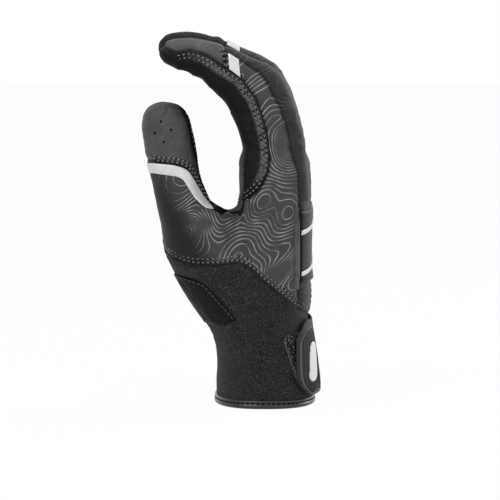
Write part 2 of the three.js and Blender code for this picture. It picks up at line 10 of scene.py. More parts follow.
import bpy
import numpy as np
from bpy.props import FloatProperty, FloatVectorProperty, IntProperty, PointerProperty
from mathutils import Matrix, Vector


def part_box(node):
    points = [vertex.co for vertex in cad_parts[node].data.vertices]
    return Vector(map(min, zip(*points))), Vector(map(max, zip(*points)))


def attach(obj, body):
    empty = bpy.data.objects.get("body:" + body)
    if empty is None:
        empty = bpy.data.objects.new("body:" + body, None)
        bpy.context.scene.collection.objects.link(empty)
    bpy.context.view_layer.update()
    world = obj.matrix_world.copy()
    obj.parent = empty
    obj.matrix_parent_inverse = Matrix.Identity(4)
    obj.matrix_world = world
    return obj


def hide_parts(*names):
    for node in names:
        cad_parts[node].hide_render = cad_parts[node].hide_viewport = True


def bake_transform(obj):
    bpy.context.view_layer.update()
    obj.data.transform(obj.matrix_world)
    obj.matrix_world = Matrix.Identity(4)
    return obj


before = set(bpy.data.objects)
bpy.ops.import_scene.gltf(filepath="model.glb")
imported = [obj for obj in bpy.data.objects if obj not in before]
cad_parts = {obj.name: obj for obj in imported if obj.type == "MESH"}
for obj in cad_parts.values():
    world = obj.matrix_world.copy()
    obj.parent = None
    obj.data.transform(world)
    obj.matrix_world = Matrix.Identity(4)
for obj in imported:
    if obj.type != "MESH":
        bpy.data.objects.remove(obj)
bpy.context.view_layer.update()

bl_info = {
    "name": "Batting Glove",
    "version": (1, 0, 0),
    "blender": (4, 5, 0),
    "location": "View3D > Sidebar > Glove",
    "description": "Builds the looks of a sewn batting glove over its CAD frame",
    "category": "Object",
}

MM = 0.001
SHARP_ANGLE = math.radians(55)

# Main sizes of the glove, in millimetres, as in the solids
KNUCKLE_HEIGHT = 121.0
CUFF_DEPTH = 49.0
CUFF_WIDTH = 62.0
KNUCKLE_DEPTH = 32.4
KNUCKLE_WIDTH = 89.5
KNUCKLE_OFFSET = 5.2
FINGER_GAP = 0.3
FINGER_PITCH = (KNUCKLE_WIDTH - FINGER_GAP) / 4
FINGER_REACH = 58.0
FINGER_RISE = 60.0
THUMB_HEIGHT = 153.6
THUMB_REACH = 50.9
THUMB_SIDE = 26.0
THUMB_WIDTH = 25.0
THUMB_DEPTH = 24.6
WALL = 1.3

# The hem's middle lies this far behind the cuff's axis, so its solid gives the axis's place
HEM_SHIFT = KNUCKLE_OFFSET * 0.1
HEM_LOW, HEM_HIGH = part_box("hem_binding")
AXIS_PLACE = (HEM_LOW.x + HEM_HIGH.x) / 2 - HEM_SHIFT * MM

# Camera: distance, height angle, size of a pixel at the target and the target, in millimetres
CAMERA_DISTANCE = 1500.0
CAMERA_ANGLE = math.radians(5.5)
PIXEL_SIZE = 0.5065
CAMERA_TARGET = np.array([-7.03, 0.0, 76.8])
IMAGE_SIZE = 500
SENSOR_WIDTH = 36.0
CAMERA_BACK = np.array([0.0, -math.cos(CAMERA_ANGLE), math.sin(CAMERA_ANGLE)])
CAMERA_UP = np.array([0.0, math.sin(CAMERA_ANGLE), math.cos(CAMERA_ANGLE)])
CAMERA_PLACE = CAMERA_TARGET + CAMERA_DISTANCE * CAMERA_BACK

# Hand sections from hem to knuckles: height, width, depth and shift as shares, then squareness
HAND_SHARES = [
    [-0.05, 0, 0, 0.1, 2.4], [0, 0, 0, 0.1, 2.4], [0.083, 0, 0, 0.1, 2.4],
    [0.182, -0.04, 0.06, 0.04, 2.4], [0.35, 0.04, 0.07, -0.26, 2.4], [0.455, 0.3, 0.12, 0.13, 2.5],
    [0.595, 0.68, 0.51, 0.46, 2.7], [0.744, 0.93, 0.78, 0.89, 2.9], [0.876, 1, 0.92, 1.18, 3.1],
    [0.95, 1, 1, 1, 3.2], [1, 1, 1, 1, 3.2],
]
# Thumb sections: reach, side, height, width and depth as shares
THUMB_SHARES = [
    [0.04, 0.4, 0.26, 1.36, 1.36], [0.272, 0.56, 0.351, 1.54, 1.55], [0.47, 0.72, 0.455, 1.54, 1.58],
    [0.618, 0.85, 0.559, 1.42, 1.62], [0.775, 0.94, 0.65, 1.16, 1.1], [0.862, 1, 0.748, 1.02, 0.98],
    [0.911, 1, 0.839, 0.98, 1.02], [0.953, 1, 0.917, 0.92, 1], [0.977, 1, 0.962, 0.77, 0.84],
    [0.987, 1, 0.987, 0.47, 0.52], [0.99, 1, 0.997, 0, 0],
]
THUMB_SQUARENESS = 2.1
# Finger sections from knuckle to tip: reach, rise, width and depth as shares, then squareness
FINGER_SHARES = [
    [0, 0, 1, 1, 3.2], [0, 0.16, 0.97, 0.93, 2.9], [0.055, 0.38, 0.94, 0.94, 2.6],
    [0.16, 0.62, 0.92, 0.965, 2.4], [0.36, 0.782, 0.9, 0.745, 2.3], [0.56, 0.908, 0.87, 0.61, 2.2],
    [0.77, 0.969, 0.82, 0.5, 2.1], [0.9, 0.983, 0.7, 0.4, 2.1], [0.965, 0.991, 0.5, 0.27, 2.1],
    [0.992, 0.998, 0.27, 0.13, 2.1], [1, 1, 0, 0, 2.1],
]
# Fingers: place across the hand in pitches, then rise, reach and girth as shares
FINGERS = {
    "index": (-1.5, 0.95, 0.98, 1.0),
    "middle": (-0.5, 1.0, 1.0, 1.0),
    "ring": (0.5, 0.95, 0.96, 0.98),
    "little": (1.5, 0.71, 0.6, 0.9),
}
CONVERGE_SHARE = 0.1

# How softly the parts of the skin run into each other, in millimetres
THUMB_BLEND = 9.0
KNUCKLE_BLEND = 6.0
WEB_BLEND = 1.6

# Seam lines, in pixels of the photograph
PALM_SEAM = [
    (150, 34), (161, 43), (168, 49), (176, 52.5), (190, 50), (199, 52.5), (208, 56), (222, 65.5),
    (240, 76), (256, 97.6), (263, 116.6), (268.4, 137.3), (270.5, 158), (268.4, 173),
    (261.3, 187.9), (251.4, 197), (236.5, 205.3), (223.2, 212.8), (214.5, 209), (204.8, 189.3),
    (200, 167.7), (194.6, 150.4), (190.6, 131.5), (188.4, 120), (183.5, 111), (174, 98),
]
PALM_SIDE = [(110, 98), (110, 34)]
CUFF_SEAM = [
    (140, 234), (160, 246), (168.4, 254.2), (182.5, 261.8), (193.4, 265), (210.7, 265.6),
    (225.9, 264), (235.6, 262.9), (244.3, 264.5), (253, 270.5), (263.8, 281.3), (274.7, 290),
    (287.7, 300.8), (296.4, 307.3), (304, 311.7), (340, 330),
]
CUFF_SIDE = [(340, 500), (140, 500)]
BACK_SEAM = [
    (150, 37), (186, 37), (214, 42), (228, 52.6), (240, 60), (252, 67.5), (260, 73.5), (264.5, 78),
    (270, 88), (274, 97), (279, 105), (282, 112), (286, 125), (288.7, 137), (290.4, 150), (294.5, 162),
    (298, 175), (299, 190), (299, 276), (298, 290), (300, 330),
]
BACK_SIDE = [(400, 330), (400, 20), (150, 20)]
THUMB_CAP_SEAM = [
    (120, 160), (148.8, 160.2), (156.5, 163), (173.8, 164.6), (183.3, 167), (188.9, 171),
    (195.3, 181.4), (202.3, 193.5), (209.2, 203), (214, 208.4), (222, 214),
]
THUMB_CAP_SIDE = [(240, 214), (240, 60), (120, 60)]
STRIPE_TOP = [
    (152, 163.2), (156.5, 163.6), (173.8, 165.4), (183.3, 168), (188.9, 171.8), (195.3, 182),
    (202.3, 194.2), (209.2, 203.6), (213.2, 208),
]
STRIPE_BOTTOM = [
    (153.5, 173), (160.9, 174.3), (169.5, 175.4), (177.3, 176.6), (183.3, 179.7), (188.5, 188.3),
    (194.5, 197.8), (202.3, 205.5), (206.6, 208.3), (213.2, 209),
]
# The near edge of the heel pad from its lower corner to the edge of the view
HEEL_EDGE = [
    (236.8, 320), (235.2, 317.4), (225.9, 307), (217.2, 297.2), (208.5, 287.4), (203, 282.6),
    (196, 279.9), (188, 277.6), (181, 275.2),
]
# Near edges of the strap's tab, of its raised rim and of the loop tape, from the bottom up
TAB_EDGE = [
    (311.5, 396), (305, 392.3), (300, 387.5), (297.6, 381), (297, 372), (297.6, 352), (298.6, 343.5),
    (300.5, 338), (304, 331.5), (306.8, 323), (308.2, 316), (309.3, 311.5),
]
LOOP_EDGE = [
    (298.5, 385), (296, 378), (292, 367), (287.6, 355), (284.6, 346), (284.2, 342), (286.5, 338.6),
    (291, 336.4),
]
# Rims of the back plate and of its ridge, and the bars' near ends: pixel columns, then heights
RIDGE_COLUMNS = (296.6, 301.3)
PLATE_COLUMN = 301.6
PLATE_HEIGHTS = (65.0, 101.0)
RIDGE_HEIGHTS = (61.5, 102.5)
BAR_HEIGHTS = (69.8, 90.6)
BAR_TILT = 0.17
# Angles at which the plate and the bars end on the far side, in degrees from the back toward +Y
PLATE_END = 42
BAR_END = 24
# Upper and lower edges of the index finger's stripe, and the sewn end of its cap
INDEX_STRIPE = [(228.2, 53.2), (238.6, 59.6)], [(229.4, 69.2), (240.4, 77.4)]
CAP_END = [(222.5, 47.5), (225.8, 54), (227.6, 60), (228.3, 67)]
# Middle and reach of the gathers at the foot of the back panel, in pixels
GATHERS = (303.0, 293.0, 10.0)
# The cuff ends at this height inside the hem tape, and the hem's row of thread lies at the second
# height. The tape's profile is a roll, a sewing groove and a flat lip: heights and distances from the
# cuff, first up the outside and then down the inside
CUFF_BOTTOM = 1.2
HEM_ROW = 2.65
HEM_PROFILE = [
    (0, -0.4), (0.05, 0.35), (0.35, 0.85), (0.8, 1.12), (1.3, 1.2), (1.8, 1.1), (2.2, 0.85), (2.5, 0.56),
    (2.8, 0.56), (3.1, 0.8), (3.5, 0.92), (3.9, 0.86), (4.2, 0.6), (4.35, 0.15), (4.3, -0.4),
    (3.6, -1.4), (2.4, -1.6), (1.2, -1.6), (0.3, -1.2),
]
# The printed sheet folds round to the back this far from the middle, on the thumb side
PRINT_FOLD = 30.0
# How far inside its edge the heel pad is sewn, and how far it turns round the palm's far side
HEEL_ROW = 1.0
HEEL_TURN = math.radians(62)
# How far the pad's upper edge falls on its way round, and how far its lower edge sags between its ends
HEEL_FALL = 8
HEEL_SAG = 3.2
# The badge's middle line on the tab, from the bottom up, in pixels
BADGE_LINE = [(313.6, 382.5), (315.4, 346)]
VENT_PIXELS = [(160.8, 121.4), (154.8, 133), (171, 129.7), (163.8, 141.8)]

# Where panels and stripes end, in millimetres: along X the finger caps' seam, the stripes' two edges and
# the palm and the back where they wrap round the hand, along Y the thenar seam, and along Z the palm's
# foot and the far side of the thumb cap's seam
TIP_CAP_PLACE = -19.2
STRIPE_PLACES = (-18.4, -12.3)
PALM_WRAP = 3.2
BACK_WRAP = 19.0
THENAR_SEAM = -27.0
PALM_BOTTOM = 36.0
THUMB_CAP_HEIGHT = 126.0
# The value of a seam's field on a part that the seam doesn't reach
NO_SEAM = 30.0
# Half the gap between two panels, how deep and how wide their edges roll down toward it, and the
# height, place and width of the swell beside the roll
SEAM_GAP = 0.06
ROLL_DEPTH, ROLL_WIDTH = 0.55, 1.3
SWELL_HEIGHT, SWELL_PLACE, SWELL_WIDTH = 0.12, 3.2, 1.6
# The little finger's stripe lies this much nearer to its knuckle
LITTLE_STRIPE_SHIFT = 6

# The strap round the wrist: its lower and upper edge, the tab's at its far end, and the angles at which
# its parts start and end, in degrees from the back toward +Y
STRAP_HEIGHTS = (7.5, 47.5)
TAB_HEIGHTS = (6.4, 46.4)
ANCHOR_ANGLES = (101, 122)
BAND_ANGLES = (-16, 100.5)
TONGUE_ANGLES = (-9, -27)
LOOP_END = -18
TAB_END = -17.5
# How far the two faces of each of its layers lie off the wrist, in millimetres
STRAP_LAYERS = {
    "anchor_patch": (0.3, 2.1), "wrist_band": (1.6, 3.4), "loop_tape": (0.3, 1.3),
    "moulded_tab": (2.9, 4.6), "hook_tape": (1.6, 2.6), "tab_tongue": (2.62, 2.88),
    "tab_badge": (4.65, 5.2),
}
# The tab's relief: height of its rim, depth of the groove inside the rim, and pitch and half height of
# its fine lines
RIM_HEIGHT, RIM_GROOVE = 0.5, 0.6
LINE_PITCH, LINE_HEIGHT = 1.3, 0.32

# The tubes: samples along their curves, spacing of their sections, how many of these a first search
# skips, how far outside its box a tube still measures, and the distance that it gives beyond
CURVE_SAMPLES = 1200
SECTION_SPACING = 0.4
COARSE_STEP = 12
TUBE_REACH = 16.0
TUBE_FAR = 40.0
# The dome on the hand's tube, inside the fingers: rise over the knuckles, half sizes and squareness
HAND_DOME = [[5, 38, 13, 2.6], [8, 26, 7, 2.3], [9, 0, 0, 2.1]]
# How deep in the hand a finger's tube starts, and the box that holds the whole skin
FINGER_ROOT = 16
SKIN_LOW, SKIN_HIGH = np.array([-70.0, -52.0, -4.0]), np.array([34.0, 50.0, 192.0])


def unit(vectors):
    """Vectors of length one."""
    return vectors / np.maximum(np.linalg.norm(vectors, axis=-1, keepdims=True), 1e-9)


def ramp(low, high, values):
    """From 0 at low to 1 at high, easing in and out."""
    t = np.clip((values - low) / (high - low), 0, 1)
    return t * t * (3 - 2 * t)


def smooth_union(a, b, width):
    """The smaller of two distances, rounded where they are closer than the width."""
    h = np.clip(0.5 + 0.5 * (b - a) / width, 0, 1)
    return b + (a - b) * h - width * h * (1 - h)


def bell(values, place, width):
    """A bell curve: 1 at the place, a third of that at the width to each side."""
    return np.exp(-(((values - place) / width) ** 2))


def mix(first, second, share):
    """The first value at a share of 0, the second at 1, on a straight line between them."""
    return first * (1 - share) + second * share


def distances_along(path):
    """How far each point of a path lies from its start, measured along it."""
    return np.concatenate([[0], np.cumsum(np.linalg.norm(np.diff(path, axis=0), axis=1))])


def rows_at(places, along, table):
    """The rows of a table at those places, on straight lines between the rows given along it."""
    return np.stack([np.interp(places, along, column) for column in table.T], axis=1)


def lattice_noise(points, size, seed):
    """Noise from -1 to 1: random values on a lattice of that size, eased between its corners."""
    place = points / size
    base = np.floor(place).astype(np.int64)
    part = place - base
    part = part * part * (3 - 2 * part)
    total = np.zeros(len(points))
    for corner in np.ndindex(2, 2, 2):
        # A whole-number hash of the cell's corner gives its random value
        cell = base + corner
        code = (cell[:, 0] * 73856093) ^ (cell[:, 1] * 19349663) ^ (cell[:, 2] * 83492791) ^ (seed * 7919)
        code = (code * 1103515245 + 12345) & 0x7FFFFFFF
        code = ((code ^ (code >> 13)) * 69069 + 1) & 0x7FFFFFFF
        weight = np.prod(np.where(np.array(corner) == 1, part, 1 - part), axis=1)
        total += weight * code / 0x7FFFFFFF
    return total * 2 - 1


class Tube:
    """A tube through sections of centre, half width, half depth and squareness, in millimetres.

    The sections are spaced evenly along smooth cubic curves through the rows. A curve's slope at a row
    is the harmonic mean of the steps beside it, and the path is at rest at its tip, so that the skin
    closes in a dome. Columns: centre 0-2, half width 3, half depth 4, squareness 5, forward 6-8,
    side 9-11, back 12-14.
    """

    def __init__(self, rows):
        rows = np.array(rows, float)
        steps = np.diff(rows, axis=0)
        behind, ahead = steps[:-1], steps[1:]
        turning = behind * ahead <= 0
        inner = np.where(turning, 0, 2 * behind * ahead / np.where(turning, 1, behind + ahead))
        slopes = np.vstack([steps[:1], inner, steps[-1:]])
        slopes[-1, :3] = 0
        place = np.linspace(0, len(rows) - 1, CURVE_SAMPLES)
        first = np.minimum(place.astype(int), len(rows) - 2)
        t = (place - first)[:, None]
        fine = (
            rows[first] * (2 * t**3 - 3 * t**2 + 1) + slopes[first] * (t**3 - 2 * t**2 + t)
            + rows[first + 1] * (3 * t**2 - 2 * t**3) + slopes[first + 1] * (t**3 - t**2)
        )
        along = distances_along(fine[:, :3])
        self.length = along[-1]
        self.count = int(self.length / SECTION_SPACING) + 1
        table = rows_at(np.linspace(0, self.length, self.count), along, fine)
        forward = unit(np.gradient(table[:, :3], axis=0))
        side = unit(np.array([0, 1, 0]) - forward * forward[:, 1:2])
        self.table = np.hstack([table, forward, side, np.cross(side, forward)])
        self.low = table[:, :3].min(0) - table[:, 3:5].max()
        self.high = table[:, :3].max(0) + table[:, 3:5].max()

    def at(self, share):
        """The section at each share of the path's length."""
        place = np.clip(share, 0, 1) * (self.count - 1)
        first = np.minimum(place.astype(int), self.count - 2)
        part = (place - first)[:, None]
        return self.table[first] * (1 - part) + self.table[first + 1] * part

    def local(self, points):
        """Share of the path, side and back coordinates, section and overrun past the ends."""
        coarse = self.table[::COARSE_STEP, :3]
        far = ((points[:, None, :] - coarse[None]) ** 2).sum(2)
        share = np.minimum(far.argmin(1) * COARSE_STEP / (self.count - 1), 1)
        for _ in range(4):
            row = self.at(share)
            ahead = ((points - row[:, :3]) * row[:, 6:9]).sum(1)
            share = np.clip(share + np.clip(ahead / self.length, -0.06, 0.06), 0, 1)
        row = self.at(share)
        offset = points - row[:, :3]
        over = np.where((share <= 0) | (share >= 1), (offset * row[:, 6:9]).sum(1), 0)
        return share, (offset * row[:, 9:12]).sum(1), (offset * row[:, 12:15]).sum(1), row, np.abs(over)

    def distance(self, points):
        """Distance from the tube's skin, measured in the section's plane, negative inside."""
        result = np.full(len(points), TUBE_FAR)
        near = np.all((points > self.low - TUBE_REACH) & (points < self.high + TUBE_REACH), axis=1)
        if near.any():
            _, side, back, row, over = self.local(points[near])
            width, depth = np.maximum(row[:, 3], 0.05), np.maximum(row[:, 4], 0.05)
            power = row[:, 5]
            ratio = ((np.abs(side) / width) ** power + (np.abs(back) / depth) ** power) ** (1 / power)
            radius = np.hypot(side, back)
            inward = radius - radius / np.maximum(ratio, 1e-6)
            result[near] = np.where(over > 1e-3, np.hypot(np.maximum(inward, 0), over), inward)
        return result

    def skin(self, share, angle):
        """A point of the tube's skin by share and angle, in degrees from the back toward +Y."""
        row = self.at(share)
        turn = np.radians(angle)
        across, outward = np.sin(turn), np.cos(turn)
        power = 2 / row[:, 5]
        side = row[:, 3] * np.sign(across) * np.abs(across) ** power
        back = row[:, 4] * np.sign(outward) * np.abs(outward) ** power
        return row[:, :3] + row[:, 9:12] * side[:, None] + row[:, 12:15] * back[:, None]


def hand_rows():
    """Rows of the hand: the solids' sections, and a dome inside the fingers' bases."""
    shares = np.array(HAND_SHARES, float)
    rows = np.stack([
        KNUCKLE_OFFSET * shares[:, 3], 0 * shares[:, 0], KNUCKLE_HEIGHT * shares[:, 0],
        (CUFF_WIDTH + (KNUCKLE_WIDTH - CUFF_WIDTH) * shares[:, 1]) / 2,
        (CUFF_DEPTH + (KNUCKLE_DEPTH - CUFF_DEPTH) * shares[:, 2]) / 2, shares[:, 4],
    ], axis=1)
    dome = [[KNUCKLE_OFFSET, 0, KNUCKLE_HEIGHT + rise, *sizes] for rise, *sizes in HAND_DOME]
    return np.vstack([rows, dome])


def thumb_rows():
    """Rows of the thumb, from inside the palm to its tip."""
    shares = np.array(THUMB_SHARES, float)
    return np.stack([
        -THUMB_REACH * shares[:, 0], -THUMB_SIDE * shares[:, 1], THUMB_HEIGHT * shares[:, 2],
        THUMB_WIDTH * shares[:, 3] / 2, THUMB_DEPTH * shares[:, 4] / 2,
        np.full(len(shares), THUMB_SQUARENESS),
    ], axis=1)


def finger_rows(across, rise, reach, girth):
    """Rows of one finger, starting inside the hand under its knuckle."""
    shares = np.array(FINGER_SHARES, float)
    size = 1 + (girth - 1) * shares[:, 1]
    rows = np.stack([
        KNUCKLE_OFFSET - FINGER_REACH * reach * shares[:, 0],
        across * FINGER_PITCH * (1 - CONVERGE_SHARE * shares[:, 0]),
        KNUCKLE_HEIGHT + FINGER_GAP + FINGER_RISE * rise * shares[:, 1],
        (FINGER_PITCH - FINGER_GAP) / 2 * shares[:, 2] * size,
        KNUCKLE_DEPTH / 2 * shares[:, 3] * size, shares[:, 4],
    ], axis=1)
    root = rows[0].copy()
    root[2] -= FINGER_ROOT
    return np.vstack([root, rows])


HAND = Tube(hand_rows())
THUMB = Tube(thumb_rows())
DIGITS = {name: Tube(finger_rows(*facts)) for name, facts in FINGERS.items()}

# Soft swellings of the skin: centre, radius and height, in millimetres
SWELLINGS = [
    ((-15, 25, 60), 20, 1.6), ((-13, 8, 92), 17, -1.4), ((-11, 20, 113), 13, 1.0),
    ((-13, -16, 98), 9, 1.8), ((-22, -20, 101), 8, -3.2), ((-12, -30, 127), 8, 1.2),
    ((-12, -11, 127), 8, 0.8), ((22, -33, 113), 8, 0.5), ((22, -11, 115), 8, 0.6),
    ((22, 11, 114), 8, 0.5), ((22, 33, 111), 8, 0.4),
]


def skin_distance(points):
    """Distance from the whole glove's skin: the tubes run together, less the swellings."""
    digits = None
    for tube in DIGITS.values():
        own = tube.distance(points)
        digits = own if digits is None else smooth_union(digits, own, WEB_BLEND)
    body = smooth_union(HAND.distance(points), THUMB.distance(points), THUMB_BLEND)
    result = smooth_union(body, digits, KNUCKLE_BLEND)
    for centre, radius, height in SWELLINGS:
        far = ((points - np.array(centre)) ** 2).sum(1) / radius**2
        result = result - height * np.exp(-2 * far)
    return result


def slope_of(field, points, step=0.25):
    """The field's gradient, from the difference of its values a step to each side."""
    steps = np.eye(3) * step
    both = np.concatenate([points + s for s in steps] + [points - s for s in steps])
    values = field(both).reshape(6, -1)
    return ((values[:3] - values[3:]) / (2 * step)).T


def skin_normals(points):
    """The skin's outward directions at those points."""
    return unit(slope_of(skin_distance, points))


def pull(points, rounds=3):
    """Points moved along the field's gradient onto the skin."""
    for _ in range(rounds):
        slope = slope_of(skin_distance, points)
        gap = skin_distance(points)
        points = points - slope * (gap / np.maximum((slope**2).sum(1), 0.05))[:, None]
    return points


def surface_net(values, origin, step):
    """The zero surface of a grid of values: one point in each cell that it crosses, at the mean of
    its crossings of the cell's edges, and a quad round each grid edge that it crosses."""
    inside = values < 0
    shape = np.array(values.shape) - 1
    count = sum(
        inside[i:shape[0] + i, j:shape[1] + j, k:shape[2] + k].astype(np.int8)
        for i, j, k in np.ndindex(2, 2, 2)
    )
    cells = np.argwhere((count > 0) & (count < 8))
    ids = np.full(shape, -1)
    ids[tuple(cells.T)] = np.arange(len(cells))
    total, hits = np.zeros((len(cells), 3)), np.zeros(len(cells))
    for axis in range(3):
        for first, second in np.ndindex(2, 2):
            low = cells.copy()
            low[:, (axis + 1) % 3] += first
            low[:, (axis + 2) % 3] += second
            high = low.copy()
            high[:, axis] += 1
            a, b = values[tuple(low.T)], values[tuple(high.T)]
            cross = (a < 0) != (b < 0)
            point = low.astype(float)
            point[:, axis] += np.where(cross, a / np.where(cross, a - b, 1), 0)
            total[cross] += point[cross]
            hits[cross] += 1
    faces = []
    for axis in range(3):
        other, last = (axis + 1) % 3, (axis + 2) % 3
        low = np.take(inside, range(values.shape[axis] - 1), axis)
        high = np.take(inside, range(1, values.shape[axis]), axis)
        edge = np.argwhere(low != high)
        edge = edge[(edge[:, other] > 0) & (edge[:, last] > 0)]
        edge = edge[(edge[:, other] < shape[other]) & (edge[:, last] < shape[last])]
        quad = []
        for first, second in ((0, 0), (1, 0), (1, 1), (0, 1)):
            cell = edge.copy()
            cell[:, other] -= first
            cell[:, last] -= second
            quad.append(ids[tuple(cell.T)])
        quad = np.stack(quad, axis=1)
        leaving = low[tuple(edge.T)]
        faces.append(np.where(leaving[:, None], quad, quad[:, ::-1]))
    faces = np.concatenate(faces)
    return origin + step * total / hits[:, None], faces[(faces >= 0).all(1)]


def skin_mesh(step):
    """The whole skin as quads: the field is worked out on a fine grid near the skin only, and its
    points are then pulled onto the skin."""
    low, block = SKIN_LOW, 4
    wide_step = step * block
    shape = np.ceil((SKIN_HIGH - low) / wide_step).astype(int) + 1
    corners = np.stack(np.meshgrid(*[np.arange(n) for n in shape], indexing="ij"), axis=-1)
    coarse = skin_distance(low + corners.reshape(-1, 3) * step * block).reshape(shape)
    # A little more than a block's diagonal is near
    near = np.abs(coarse) < 1.8 * wide_step
    wide = near.copy()
    for axis in range(3):
        for shift in (-1, 1):
            wide |= np.roll(near, shift, axis)
    fine_shape = (shape - 1) * block + 1
    index = [np.arange(n) for n in fine_shape]
    nearest = np.ix_(*[np.minimum((i + block // 2) // block, n - 1) for i, n in zip(index, shape)])
    values = coarse[nearest].copy()
    chosen = np.argwhere(wide[nearest])
    values[tuple(chosen.T)] = skin_distance(low + chosen * step)
    points, faces = surface_net(values, low, step)
    for _ in range(2):
        pair = np.concatenate([faces[:, [0, 1]], faces[:, [1, 2]], faces[:, [2, 3]], faces[:, [3, 0]]])
        total = np.zeros_like(points)
        number = np.bincount(pair.ravel(), minlength=len(points))
        for axis in range(3):
            total[:, axis] = np.bincount(pair[:, 0], points[pair[:, 1], axis], len(points))
            total[:, axis] += np.bincount(pair[:, 1], points[pair[:, 0], axis], len(points))
        points = pull(0.5 * points + 0.5 * total / np.maximum(number, 1)[:, None], rounds=1)
    return points, faces


def to_pixel(points):
    """Where the camera sees each point, in pixels of the photograph."""
    offset = points - CAMERA_PLACE
    depth = -offset @ CAMERA_BACK
    scale = CAMERA_DISTANCE / PIXEL_SIZE / depth
    half = IMAGE_SIZE / 2
    return np.stack([half + offset[:, 0] * scale, half - (offset @ CAMERA_UP) * scale], axis=1)


def march(points, ray):
    """The first point of the skin along each ray, by steps of three quarters of the distance that
    is left, at most 3 mm on and 2 mm back. A ray that misses gives the point of the skin that it
    passes nearest to."""
    nearest, least = points, np.full(len(points), np.inf)
    for _ in range(64):
        gap = skin_distance(points)
        closer = np.abs(gap) < least
        nearest, least = np.where(closer[:, None], points, nearest), np.minimum(np.abs(gap), least)
        points = points + ray * np.clip(0.75 * gap, -2, 3)[:, None]
    return pull(nearest, rounds=4)


def cast(pixels):
    """The point of the skin that the camera sees at each pixel."""
    half = IMAGE_SIZE / 2
    across = (pixels[:, 0] - half) * PIXEL_SIZE / CAMERA_DISTANCE
    up = (half - pixels[:, 1]) * PIXEL_SIZE / CAMERA_DISTANCE
    ray = unit(-CAMERA_BACK + across[:, None] * np.array([1.0, 0, 0]) + up[:, None] * CAMERA_UP)
    return march(CAMERA_PLACE + ray * (CAMERA_DISTANCE - 70), ray)


def line_distance(pixels, line, closing):
    """Distance from a line of points in pixels, negative inside the area that the line and its
    closing points go round."""
    line = np.array(line, float)
    start, along = line[:-1], np.diff(line, axis=0)
    offset = pixels[:, None, :] - start[None]
    share = np.clip((offset * along).sum(2) / (along**2).sum(1), 0, 1)
    far = np.sqrt(((offset - share[:, :, None] * along) ** 2).sum(2).min(1))
    ring = np.vstack([line, np.array(closing, float)])
    following = np.roll(ring, -1, axis=0)
    x, y = pixels[:, 0:1], pixels[:, 1:2]
    spans = (ring[:, 1] > y) != (following[:, 1] > y)
    rise = np.where(following[:, 1] == ring[:, 1], 1, following[:, 1] - ring[:, 1])
    reach = ring[:, 0] + (y - ring[:, 1]) * (following[:, 0] - ring[:, 0]) / rise
    inside = (spans & (x < reach)).sum(1) % 2 == 1
    return np.where(inside, -far, far) * PIXEL_SIZE


def curve_through(line, count):
    """A smooth curve through a line of points: even places on its straight steps, then each point
    averaged with its neighbours, once for every twelve points."""
    line = np.array(line, float)
    along = distances_along(line)
    fine = rows_at(np.linspace(0, along[-1], count), along, line)
    for _ in range(max(2, count // 12)):
        fine[1:-1] = 0.25 * fine[:-2] + 0.5 * fine[1:-1] + 0.25 * fine[2:]
    return fine


def seam_fields(points):
    """For each point of the skin: its part, and its distance in millimetres from each seam.

    hide is negative on palm leather, back positive on the back of the hand, cuff negative below the
    cuff's seam, cap negative on the grey tips, side negative toward the thumb side, base negative
    above the cuff's lower edge."""
    pixels = to_pixel(points)
    tubes = {"hand": HAND, "thumb": THUMB, **DIGITS}
    far = np.stack([tube.distance(points) for tube in tubes.values()])
    part = far.argmin(0)
    names = list(tubes)
    x, y, z = points.T
    palm_line = line_distance(pixels, PALM_SEAM, PALM_SIDE)
    cuff = line_distance(pixels, CUFF_SEAM, CUFF_SIDE)
    back_line = -line_distance(pixels, BACK_SEAM, BACK_SIDE)

    # The palm's hide ends at its line on the near side, where the hand turns to its back, and above
    # the cuff; the back begins at its line on the near side and past BACK_WRAP on the far side
    palm = smooth_max(x - PALM_WRAP, THENAR_SEAM - y, 3)
    palm = smooth_max(palm, PALM_BOTTOM - z, 4)
    hide = -smooth_max(-smooth_max(palm_line, y + 8, 2), -palm, 3)
    back = np.where(y < 0, back_line, x - BACK_WRAP)
    cap = np.full(len(points), NO_SEAM)
    side = y.copy()

    # Round the thumb the near side's lines give way to level and upright seams on the far side
    row = THUMB.local(points)[3]
    thumb = part == names.index("thumb")
    turn = ramp(-3, 3, y - row[:, 1])
    inner = -smooth_max(-smooth_max(THENAR_SEAM - y, z - 106, 14), x + 2 - row[:, 0], 8)
    hide = np.where(thumb, palm_line * (1 - turn) + inner * turn, hide)
    cap_line = line_distance(pixels, THUMB_CAP_SEAM, THUMB_CAP_SIDE)
    cap = np.where(thumb, cap_line * (1 - turn) + (THUMB_CAP_HEIGHT - z) * turn, cap)
    side = np.where(thumb, -NO_SEAM, side)
    back = np.where(thumb & (x < 0), -20, back)

    for name, tube in DIGITS.items():
        own = part == names.index(name)
        share, across, depth, row, _ = tube.local(points[own])
        height = row[:, 4]
        # A finger's front is hide up to this depth, which rises to the palm's edge at the knuckle
        low = -0.68 * height + (0.68 * height - 2) * ramp(0.28, 0.16, share)
        tip = points[own, 0] - TIP_CAP_PLACE + 0.25 * np.minimum(depth, 0)
        cuff[own] = NO_SEAM
        side[own] = across
        if name == "index":
            hide[own] = palm_line[own]
            back[own] = back_line[own]
            cap[own] = tip
        else:
            hide[own] = np.minimum(depth - low, tip)
            back[own] = depth - 0.73 * height
    base = CUFF_BOTTOM - z
    return part, {"hide": hide, "back": back, "cuff": cuff, "cap": cap, "side": side, "base": base}


def smooth_max(a, b, width):
    """The larger of two values, rounded where they are closer than the width."""
    return -smooth_union(-a, -b, width)


